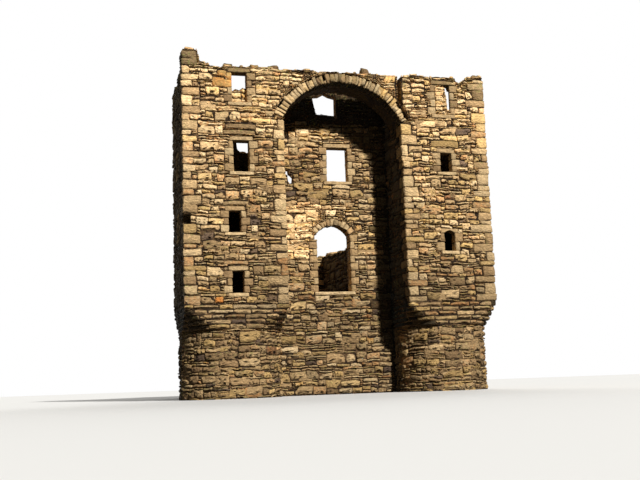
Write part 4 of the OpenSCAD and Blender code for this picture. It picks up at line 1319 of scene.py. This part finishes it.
class KEEP_OT_dressings(bpy.types.Operator):
    """Makes the lintels, sills and jamb stones of all windows and the doorway"""

    bl_idname = "keep.dressings"
    bl_label = "Window stones"

    # Half the gap between two jamb stones, and kind and shade of those of the top left window
    bed_gap = 0.005
    golden = (0.95, 1.3)

    def execute(self, context):
        self.dressed = context.scene.keep_dressed
        self.rng = np.random.default_rng(11)
        for side in ("left", "right", "gable", "side"):
            self.make_jambs(f"{side}_jambs")
            self.make_bars(f"{side}_lintels", 0.44, 1.0)
            self.make_bars(f"{side}_sills", 0.58, 1.08)
        return {"FINISHED"}

    def finish(self, node, blocks, bend=None):
        """Builds one piece that stands for a node."""
        pile = Pile()
        blocks.fill(pile, self.dressed.margin, self.rng, bend)
        pile.build(f"{node}_stones", finishes()["dressed"], "dressed_stone", node)

    def make_jambs(self, node):
        """Stands long and short stones up each side of the openings, one for each step that
        the node's solids have."""
        points, faces = triangles(frame["nodes"][node])
        tree = BVHTree.FromPolygons(points.tolist(), faces.tolist(), all_triangles=True)
        blocks = Blocks()
        for solid in solids(node):
            axis, sign = outward_of(solid)
            beds = np.unique(np.rint(solid[:, 2] * 1000)) / 1000
            for foot, top in zip(beds[:-1], beds[1:]):
                first, last = solid.min(axis=0), solid.max(axis=0)
                first[1 - axis], last[1 - axis] = self.ends(tree, first, last, foot, top, 1 - axis)
                first[2], last[2] = foot + self.bed_gap, top - self.bed_gap
                proud = self.dressed.proud + self.rng.uniform(-0.012, 0.012)
                first, last = stand_out(first, last, axis, sign, proud)
                kind, shade = self.rng.uniform(0.12, 0.62), self.rng.uniform(0.86, 1.08)
                if node == "left_jambs" and foot > Z_HEAD - 1.0 and last[0] < X_TOP_WINDOW:
                    kind, shade = self.golden
                blocks.put(first, last, kind, shade, self.rng.random())
        self.finish(node, blocks)

    @staticmethod
    def ends(tree, lowest, highest, foot, top, along):
        """Where a jamb's step begins and ends along its wall, met by rays from both sides."""
        ends = []
        for way, place in ((1, lowest[along] - 0.05), (-1, highest[along] + 0.05)):
            start = (lowest + highest) / 2
            start[2] = (foot + top) / 2
            start[along] = place
            direction = Vector((0, 0, 0))
            direction[along] = way
            ends.append(tree.ray_cast(Vector(start), direction)[0][along])
        return sorted(ends)

    def make_bars(self, node, kind, shade):
        """Lays a lintel or a sill over each solid; a rounded head keeps its curve."""
        blocks = Blocks(7)
        curves = []
        for solid in solids(node):
            axis, sign = outward_of(solid)
            lowest, highest = solid.min(axis=0), solid.max(axis=0)
            at_foot = solid[:, 2] < lowest[2] + 0.001
            between = ~at_foot & (solid[:, 2] < highest[2] - 0.001)
            if between.any():
                cut = np.unique(np.rint(solid[at_foot][:, 1 - axis] * 1000) / 1000)[1:-1]
                curves.append((lowest, highest, cut, solid[between][:, 2].max() - lowest[2]))
            first, last = stand_out(lowest, highest, axis, sign, self.dressed.proud)
            dull = 0.72 if highest[2] > Z_HEAD - 0.4 else 1.0
            own_kind = self.rng.normal(kind, 0.06) * dull
            blocks.put(first, last, own_kind, shade * dull, self.rng.random())

        def round_heads(points):
            for lowest, highest, cut, rise in curves:
                inside = ((points > lowest - 0.06) & (points < highest + 0.06)).all(axis=2)
                part = points[inside]
                half = (cut[-1] - cut[0]) / 2
                off = np.clip(np.abs(part[:, 0] - (cut[0] + half)) / half, 0, 1)
                share = (highest[2] - part[:, 2]) / (highest[2] - lowest[2])
                part[:, 2] += share * rise * (1 - off**2)
                points[inside] = part
            return points

        self.finish(node, blocks, round_heads)


class KEEP_OT_relieving_slabs(bpy.types.Operator):
    """Lays the long slabs over the lintels of the front windows, and a few bright stones"""

    bl_idname = "keep.relieving_slabs"
    bl_label = "Relieving slabs"

    # Middle along the front, foot, length, height and kind of each slab
    slabs = (
        (X_LEFT + 2.12, 9.93, 1.24, 0.20, 0.35),
        (X_LEFT + 2.20, 10.16, 1.15, 0.21, 0.30),
        (X_LEFT + 1.93, 7.19, 0.98, 0.17, 0.45),
        (X_LEFT + 1.90, 4.94, 0.92, 0.16, 0.50),
        (X_RIGHT - 1.80, 9.68, 1.18, 0.27, 0.35),
        (X_LEFT + 1.37, 11.80, 0.48, 0.38, 0.93),
        (X_LEFT + 1.50, 12.20, 0.34, 0.26, 0.92),
        (X_LEFT + 1.25, 3.50, 0.30, 0.24, 0.96),
    )
    bed = 0.01
    sagging = 0.09

    def execute(self, context):
        rng = np.random.default_rng(12)
        front_of_slab = Y_FRONT - context.scene.keep_dressed.proud - 0.02
        face = facing("front")
        blocks = Blocks(7)
        for middle, foot, wide, tall, kind in self.slabs:
            first = (middle - wide / 2, front_of_slab, foot + self.bed)
            last = (middle + wide / 2, Y_FRONT + 0.2, foot + tall - self.bed)
            light = 1.1 if kind > 0.9 else rng.uniform(0.85, 1.0)
            blocks.put(first, last, kind, light, rng.random())
            face.keep_clear([face.run_of(x, Y_FRONT) for x in (first[0], last[0])], (foot, foot + tall))
        pile = Pile()
        blocks.fill(pile, 0.035, rng, self.sag, wear=0.016, rough=0.006)
        pile.build("relieving_slabs", finishes()["rubble"], "rubble_walling")
        return {"FINISHED"}

    def sag(self, points):
        """Lets both ends of each slab hang a little."""
        middle = (points.max(axis=1) + points.min(axis=1))[:, None] / 2
        points[..., 2] -= self.sagging * (points[..., 0] - middle[..., 0]) ** 2
        return points


class KEEP_OT_quoins(bpy.types.Operator):
    """Stacks the corner stones, long and short in turn"""

    bl_idname = "keep.quoins"
    bl_label = "Quoins"

    # Kind, share of shade and chance of the mossy stack of parapet stones, and its stones' reach
    stack_tint = (0.45, 0.44, 0.97)
    stack_reach = 0.56

    def execute(self, context):
        self.dressed = context.scene.keep_dressed
        self.rng = np.random.default_rng(13)
        notch = notch_heights()
        left = [(Z_CAP, notch[0]), notch, (notch[1], Z_HEAD), (Z_HEAD, Z_TOP - 0.1)]
        under_arch = [(Z_CAP, Z_SPRING - 0.05)]
        narrow = {"size": 0.82}
        stack = {"left_out": 1, "stack": 3}
        for name, x, y, dx, dy, face_x, face_y, runs, rest in (
            ("left_tower", X_LEFT, Y_FRONT, 1, 1, "front", "left_side", left, stack),
            ("left_recess", X_GAP_LEFT, Y_FRONT, -1, 1, "front", "left_inner", under_arch, narrow),
            ("right_recess", X_GAP_RIGHT, Y_FRONT, 1, 1, "front", "right_inner", under_arch, narrow),
            ("right_tower", X_RIGHT, Y_FRONT, -1, 1, "front", "right_side", [(Z_CAP, Z_HEAD)], {}),
            ("left_back", X_LEFT, Y_LEFT_BACK, 1, -1, "left_back", "left_side",
             [(Z_CAP, Z_HEAD - 0.15)], {}),
            ("right_back", X_RIGHT, Y_RIGHT_BACK, -1, -1, "right_back", "right_side",
             [(Z_CAP, Z_HEAD - 0.65)], {}),
            ("north_end", X_NORTH, Y_END, 1, -1, "end", "north", [(0.0, 6.2)], {}),
            ("south_end", X_SOUTH, Y_END, -1, -1, "end", "south", [(0.0, 6.6)], {}),
        ):
            self.corner(name, (x, y), (dx, dy), (facing(face_x), facing(face_y)), runs, **rest)
        return {"FINISHED"}

    def corner(self, name, spot, way, faces, runs, left_out=None, stack=None, size=1.0):
        """Stacks one corner from runs of height. way says how its two walls leave it, one run
        may be left out and one may be the stack on the wall head."""
        blocks = Blocks()
        turn = 0
        for number, (foot, top) in enumerate(runs):
            count = max(1, round((top - foot) / self.dressed.quoin_course))
            parts = self.rng.uniform(0.55, 1.45, count)
            beds = foot + np.concatenate([[0], np.cumsum(parts) / parts.sum()]) * (top - foot)
            for low_bed, high_bed in zip(beds[:-1], beds[1:]):
                turn += 1
                if number == left_out:
                    continue
                reach = [self.dressed.quoin_short, self.dressed.quoin_long]
                if turn % 2:
                    reach.reverse()
                reach = [r * size * self.rng.uniform(0.62, 1.42) for r in reach]
                if number == stack:
                    reach = [self.stack_reach, self.rng.uniform(0.3, 0.6)]
                self.put_quoin(blocks, spot, way, reach, low_bed, high_bed)
                if number == stack:
                    blocks.tints[-1] = self.stack_tint
                ends = ((spot[0] + way[0] * reach[0], spot[1]), (spot[0], spot[1] + way[1] * reach[1]))
                for face, end in zip(faces, ends):
                    face.keep_clear((face.run_of(*spot), face.run_of(*end)), (low_bed, high_bed))
        pile = Pile()
        blocks.fill(pile, 0.045, self.rng, wear=0.015, rough=0.010, skew=0.014)
        pile.build(f"{name}_quoins", finishes()["rubble"], "dressed_stone")

    def put_quoin(self, blocks, spot, way, reach, foot, top):
        """One quoin, proud of both faces. Those at the top of the right corner are mossy."""
        proud = self.dressed.proud + self.rng.uniform(-0.004, 0.014, 2)
        xs, ys = (
            sorted((spot[k] - way[k] * proud[k], spot[k] + way[k] * (reach[k] - 0.012)))
            for k in (0, 1)
        )
        kind, shade, chance = tones(1, self.rng)[0]
        shade = (shade * SHADE_SCALE * 0.45 + 0.46) * light_at((foot + top) / 2)
        if spot[0] == X_RIGHT and foot > Z_HEAD - 1.0:
            shade, chance = shade * 0.62, 0.97
        blocks.put((xs[0], ys[0], foot + 0.004), (xs[1], ys[1], top - 0.004),
                   np.clip(kind, 0.28, 0.64), shade, chance)


def notch_heights():
    """Foot and top of the notch that the lost corner stone left, from the front wall's mesh."""
    for solid in solids("left_front_wall"):
        inner = solid[(solid[:, 0] > X_LEFT + 0.05) & (solid[:, 0] < X_LEFT + 0.5)
                      & (solid[:, 1] < Y_FRONT + 0.5) & (solid[:, 2] < Z_HEAD - 1)]
        if len(inner):
            return inner[:, 2].min(), inner[:, 2].max()
    raise RuntimeError("the front wall has no notch")


class KEEP_OT_great_arch(bpy.types.Operator):
    """Builds the great arch from thin uneven stones"""

    bl_idname = "keep.great_arch"
    bl_label = "Great arch"

    def execute(self, context):
        thickness = context.scene.keep_dressed.voussoir
        make_arch("great_arch", X_GAP_RIGHT - X_GAP_LEFT, Z_SPRING, thickness,
                  np.random.default_rng(14), lost=0.385, worn_end=0.36, golden=0.55)
        return {"FINISHED"}


class KEEP_OT_hall_arch(bpy.types.Operator):
    """Builds the flat arch over the hall window"""

    bl_idname = "keep.hall_arch"
    bl_label = "Hall window arch"

    thickness = 0.15

    def execute(self, context):
        jambs = [s for s in solids("gable_jambs") if s[:, 2].min() < Z_HALL + 2]
        sides = sorted(side for s in jambs for side in (s[:, 0].min(), s[:, 0].max()))
        spring = max(s[:, 2].max() for s in jambs)
        make_arch("hall_window_arch", sides[2] - sides[1], spring, self.thickness,
                  np.random.default_rng(15))
        return {"FINISHED"}


# How far the arch stones stand out of the wall
ARCH_PROUD = 0.03


def make_arch(node, span, spring, thickness, rng, lost=None, worn_end=0.0, golden=0.0):
    """Turns a row of upright blocks into an arch that stands for a node. lost is the place, as
    a share of the sweep, of a stone that has lost its outer half, worn_end the share by which
    the stones at the right springing are shorter, and golden the share of yellow stones in
    the haunches."""
    lowest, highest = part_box(node)
    crown_stone = min(solids(node), key=lambda s: abs(s[:, 0].mean() - X_ARCH))
    soffit = crown_stone[:, 2].min()
    rise = soffit - spring
    radius = ((span / 2) ** 2 + rise**2) / (2 * rise)
    centre = soffit - radius
    half = math.asin(span / 2 / radius)
    height = highest[2] - soffit
    count = round(2 * half * radius / thickness)
    parts = rng.uniform(0.7, 1.35, count)
    joints = -half + 2 * half * np.concatenate([[0], np.cumsum(parts) / parts.sum()])
    blocks = Blocks()
    for start, end in zip(joints[:-1], joints[1:]):
        share = ((start + end) / 2 + half) / (2 * half)
        worn = worn_end * np.clip((share - 0.84) * 12, 0, 1)
        tall = height * rng.uniform(0.78, 1.04) * (1 - worn)
        if lost is not None and abs(share - lost) < 0.5 / count:
            tall = height * 0.35
        kind = np.clip(rng.normal(0.45, 0.20), 0.05, 0.84)
        if (0.05 < share < 0.34 or share > 0.72) and rng.random() < golden:
            kind = rng.uniform(0.80, 0.90)
        gap = rng.uniform(0.004, 0.012)
        first = (start * radius + gap, lowest[1] - ARCH_PROUD - rng.uniform(0, 0.025),
                 rng.uniform(-0.012, 0.012))
        last = (end * radius - gap, highest[1], tall)
        light = np.clip(rng.normal(0.92, 0.22), 0.5, 1.4) * (0.80 + 0.5 * abs(2 * share - 1))
        blocks.put(first, last, kind, light, rng.random())

    def bend(points):
        swing = points[..., 0] / radius
        out = radius + points[..., 2]
        across, up = X_ARCH + out * np.sin(swing), centre + out * np.cos(swing)
        return np.stack([across, points[..., 1], up], axis=-1)

    pile = Pile()
    blocks.fill(pile, 0.02, rng, bend, wear=0.012, rough=0.008, skew=0.012)
    pile.build(f"{node}_stones", finishes()["dressed"], "dressed_stone", node)


class KEEP_OT_front_stones(bpy.types.Operator):
    """Lays the rubble of the front, the recess and its sides"""

    bl_idname = "keep.front_stones"
    bl_label = "Front and recess rubble"

    # Factor of brightness of the recess where the building keeps the main lamp off: painted shadow
    painted_shadow = 0.22

    def execute(self, context):
        rng = np.random.default_rng(16)
        front = facing("front")
        cut_cracks(front)
        half = front.cols // 2
        filled = context.scene.keep_rubble.filled
        for side, cols in (("left", slice(0, half)), ("right", slice(half, front.cols))):
            whole = keep_part(front, slice(None), cols)
            clad(f"{side}_front", front, RUBBLE_MIX, FINE_RING, rng, filled)
            front.free = whole
        pile = Pile()
        recess = facing("recess")
        fill_joints(pile, recess, rng, 0.3, painted_shadow=self.painted_shadow)
        rows = slice(*(round(z / recess.cell[1]) for z in (PALE_FOOT + 0.1, PALE_TOP - 0.1)))
        cols = slice(0, round(recess.run_of(PALE_RIGHT, Y_GABLE) / recess.cell[0]))
        whole = keep_part(recess, rows, cols)
        fill_joints(pile, recess, rng, 0.95, proud=0.040, relief=0.014, light=1.75)
        recess.free = whole
        add_stones(pile, recess, RUBBLE_MIX, FINE_RING, rng, 0.05, painted_shadow=self.painted_shadow)
        pile.build("recess_stones", finishes()["rubble"], "rubble_walling")
        return {"FINISHED"}


def keep_part(face, rows, cols):
    """Leaves only a part of a face's cells free, and returns all as they were."""
    whole = face.free
    face.free = np.zeros_like(whole)
    face.free[rows, cols] = whole[rows, cols]
    return whole


def cut_cracks(face):
    """Keeps two cracks of the front open, and the stepped foot of the groove beside the arch."""
    for x, foot, top in ((X_RIGHT - 1.43, 10.55, 11.1), (X_GAP_RIGHT - 0.2, 11.0, 12.55)):
        run = face.run_of(x, Y_FRONT)
        face.keep_clear((run, run + CELL[0]), (foot, top))
    for step in range(6):
        run = face.run_of(X_GAP_RIGHT + CELL[0] * step, Y_FRONT)
        foot = Z_SPRING - 0.02 - 0.07 * step
        face.keep_clear((run, run + CELL[0]), (foot, foot + 0.14))


class KEEP_OT_blocking_stones(bpy.types.Operator):
    """Lays the stones that block part of the two top windows"""

    bl_idname = "keep.blocking_stones"
    bl_label = "Blocking stones"

    def execute(self, context):
        rng = np.random.default_rng(17)
        pile = Pile()
        for node in ("left_blocking", "right_blocking"):
            lowest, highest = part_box(node)
            plan = [(lowest[0], lowest[1]), (highest[0], lowest[1])]
            face = Facing(plan, lowest[2], highest[2], {node})
            add_stones(pile, face, RUBBLE_MIX[1:], FINE_RING, rng, 0.1)
        pile.build("blocking_stones", finishes()["rubble"], "rubble_walling")
        return {"FINISHED"}


class KEEP_OT_tower_stones(bpy.types.Operator):
    """Lays the rubble of the tower sides and backs"""

    bl_idname = "keep.tower_stones"
    bl_label = "Tower side rubble"

    def execute(self, context):
        rng = np.random.default_rng(18)
        filled = context.scene.keep_rubble.filled
        for name in ("left_side", "right_side", "left_back", "right_back"):
            clad(name, facing(name), PLAIN_MIX, PLAIN_RING, rng, filled, proud=0.024, relief=0.010)
        return {"FINISHED"}


class KEEP_OT_hall_stones(bpy.types.Operator):
    """Lays the rubble of the hall walls, outside and inside"""

    bl_idname = "keep.hall_stones"
    bl_label = "Hall rubble"

    def execute(self, context):
        rng = np.random.default_rng(19)
        for name in ("north", "south", "end"):
            clad(name, facing(name), PLAIN_MIX, PLAIN_RING, rng)
        for name in ("left_inner", "right_inner", "gable_rear", "end_inner"):
            clad(name, facing(name), INNER_MIX, PLAIN_RING, rng)
        return {"FINISHED"}


def tower_plan(node):
    """Middle and half width of a tower's plan."""
    lowest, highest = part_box(node)
    half = (highest[0] - lowest[0]) / 2
    return lowest[0] + half, lowest[1] + half, half


class KEEP_OT_drum_stones(bpy.types.Operator):
    """Lays the rubble of the round bases"""

    bl_idname = "keep.drum_stones"
    bl_label = "Round base rubble"

    # Single stones of the left base that stand out: place and kind
    accents = (
        ((X_LEFT + 1.62, Y_FRONT + 0.10, 1.95), 0.02),
        ((X_LEFT + 1.05, Y_FRONT + 0.30, 2.05), 0.90),
        ((X_LEFT + 1.25, Y_FRONT + 0.25, 1.80), 0.88),
        ((X_LEFT + 0.95, Y_FRONT + 0.35, 1.45), 0.92),
    )

    def execute(self, context):
        rng = np.random.default_rng(20)
        for side, seam, accents in (("left", 45, self.accents), ("right", 135, ())):
            x, y, radius = tower_plan(f"{side}_drum")
            turn = np.radians(seam + np.arange(0, 361, 3))
            plan = np.column_stack([x + radius * np.cos(turn), y + radius * np.sin(turn)])
            face = Facing(plan, 0.0, Z_CORBEL)
            clad(f"{side}_drum", face, RUBBLE_MIX, FINE_RING, rng, 0.25, shift=-0.06, accents=accents)
        return {"FINISHED"}


class KEEP_OT_corbel_slabs(bpy.types.Operator):
    """Lays the long slabs of the corbel courses"""

    bl_idname = "keep.corbel_slabs"
    bl_label = "Corbel slabs"

    courses = 5
    diagonal = math.sqrt(2)

    # Factor of brightness of the corbels where the building keeps the main lamp off: painted shadow
    painted_shadow = 0.12

    def execute(self, context):
        rng = np.random.default_rng(21)
        course = (Z_CAP - Z_CORBEL) / self.courses
        for side, seam in (("left", 45), ("right", 135)):
            node = f"{side}_corbels"
            pile = Pile()
            for k in range(self.courses):
                foot = Z_CORBEL + k * course
                face = Facing(self.plan(node, seam, k), foot, foot + course, {node}, rows=1)
                add_stones(pile, face, CORBEL_MIX, FINE_RING, rng, 0.04, painted_shadow=self.painted_shadow,
                           proud=0.030, relief=0.014, drift=0.006)
            pile.build(f"{side}_corbel_slabs", finishes()["rubble"], "dressed_stone")
        return {"FINISHED"}

    def plan(self, node, seam, course):
        """Outline of a course: a circle that grows past the sides of the square cap."""
        x, y, half = tower_plan(node)
        radius = half * (1 + (self.diagonal - 1) * (course + 1) / self.courses)
        turn = np.radians(seam + np.arange(0, 360.5, 1.5))
        square = half / np.maximum(np.abs(np.cos(turn)), np.abs(np.sin(turn)))
        out = np.minimum(radius, square)
        return np.column_stack([x + out * np.cos(turn), y + out * np.sin(turn)])


class KEEP_OT_wall_heads(bpy.types.Operator):
    """Lays the loose stones on the broken wall heads"""

    bl_idname = "keep.wall_heads"
    bl_label = "Wall heads"

    # Loose stones on the front's head: place along the front, length, depth and height
    loose = (
        (X_LEFT + 1.78, 0.40, 0.36, 0.20),
        (X_LEFT + 2.81, 0.36, 0.32, 0.16),
        (X_LEFT + 3.55, 0.46, 0.34, 0.18),
        (X_LEFT + 7.31, 0.34, 0.30, 0.34),
    )

    def execute(self, context):
        rng = np.random.default_rng(22)
        heads = Heads(WALLS | {"great_arch"})
        pile = Pile()
        add_stones(pile, heads, HEAD_MIX, PLAIN_RING, rng, proud=0.06, relief=0.055, drift=0.03)
        blocks = Blocks()
        front = Y_FRONT + 0.1
        for x, wide, deep, tall in self.loose:
            head = SURVEY.drop(x, front + deep / 2)[0].z
            blocks.put((x - wide / 2, front, head - 0.05), (x + wide / 2, front + deep, head + tall),
                       0.14, 0.8, rng.random())
        blocks.fill(pile, 0.06, rng, wear=0.045, rough=0.014, skew=0.03)
        pile.build("wall_head_stones", finishes()["rubble"], "rubble_walling")
        return {"FINISHED"}


OPERATORS = (
    KEEP_OT_stage, KEEP_OT_wall_finish, KEEP_OT_dressings, KEEP_OT_relieving_slabs,
    KEEP_OT_quoins, KEEP_OT_great_arch, KEEP_OT_hall_arch, KEEP_OT_front_stones,
    KEEP_OT_blocking_stones, KEEP_OT_tower_stones, KEEP_OT_hall_stones, KEEP_OT_drum_stones,
    KEEP_OT_corbel_slabs, KEEP_OT_wall_heads,
)


class KEEP_PT_panel(bpy.types.Panel):
    """Lists the steps of the building and its settings"""

    bl_label = "Keep"
    bl_idname = "KEEP_PT_panel"
    bl_space_type = "VIEW_3D"
    bl_region_type = "UI"
    bl_category = "Keep"

    def draw(self, context):
        for operator in OPERATORS:
            self.layout.operator(operator.bl_idname)
        for group in GROUPS:
            settings = getattr(context.scene, group)
            for name in settings.bl_rna.properties.keys():
                if name not in ("rna_type", "name"):
                    self.layout.prop(settings, name)


GROUPS = {
    "keep_rubble": RubbleSettings,
    "keep_dressed": DressedSettings,
    "keep_stage": StageSettings,
}


def register():
    """Registers the settings, the operators and the panel."""
    for name, group in GROUPS.items():
        bpy.utils.register_class(group)
        setattr(bpy.types.Scene, name, PointerProperty(type=group))
    for part in (*OPERATORS, KEEP_PT_panel):
        bpy.utils.register_class(part)


def unregister():
    """Takes them away again."""
    for part in reversed((*OPERATORS, KEEP_PT_panel)):
        bpy.utils.unregister_class(part)
    for name, group in GROUPS.items():
        delattr(bpy.types.Scene, name)
        bpy.utils.unregister_class(group)


def main():
    """Builds all pieces."""
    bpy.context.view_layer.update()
    register()
    for operator in OPERATORS:
        group, name = operator.bl_idname.split(".")
        getattr(getattr(bpy.ops, group), name)()


if __name__ == "__main__":
    main()
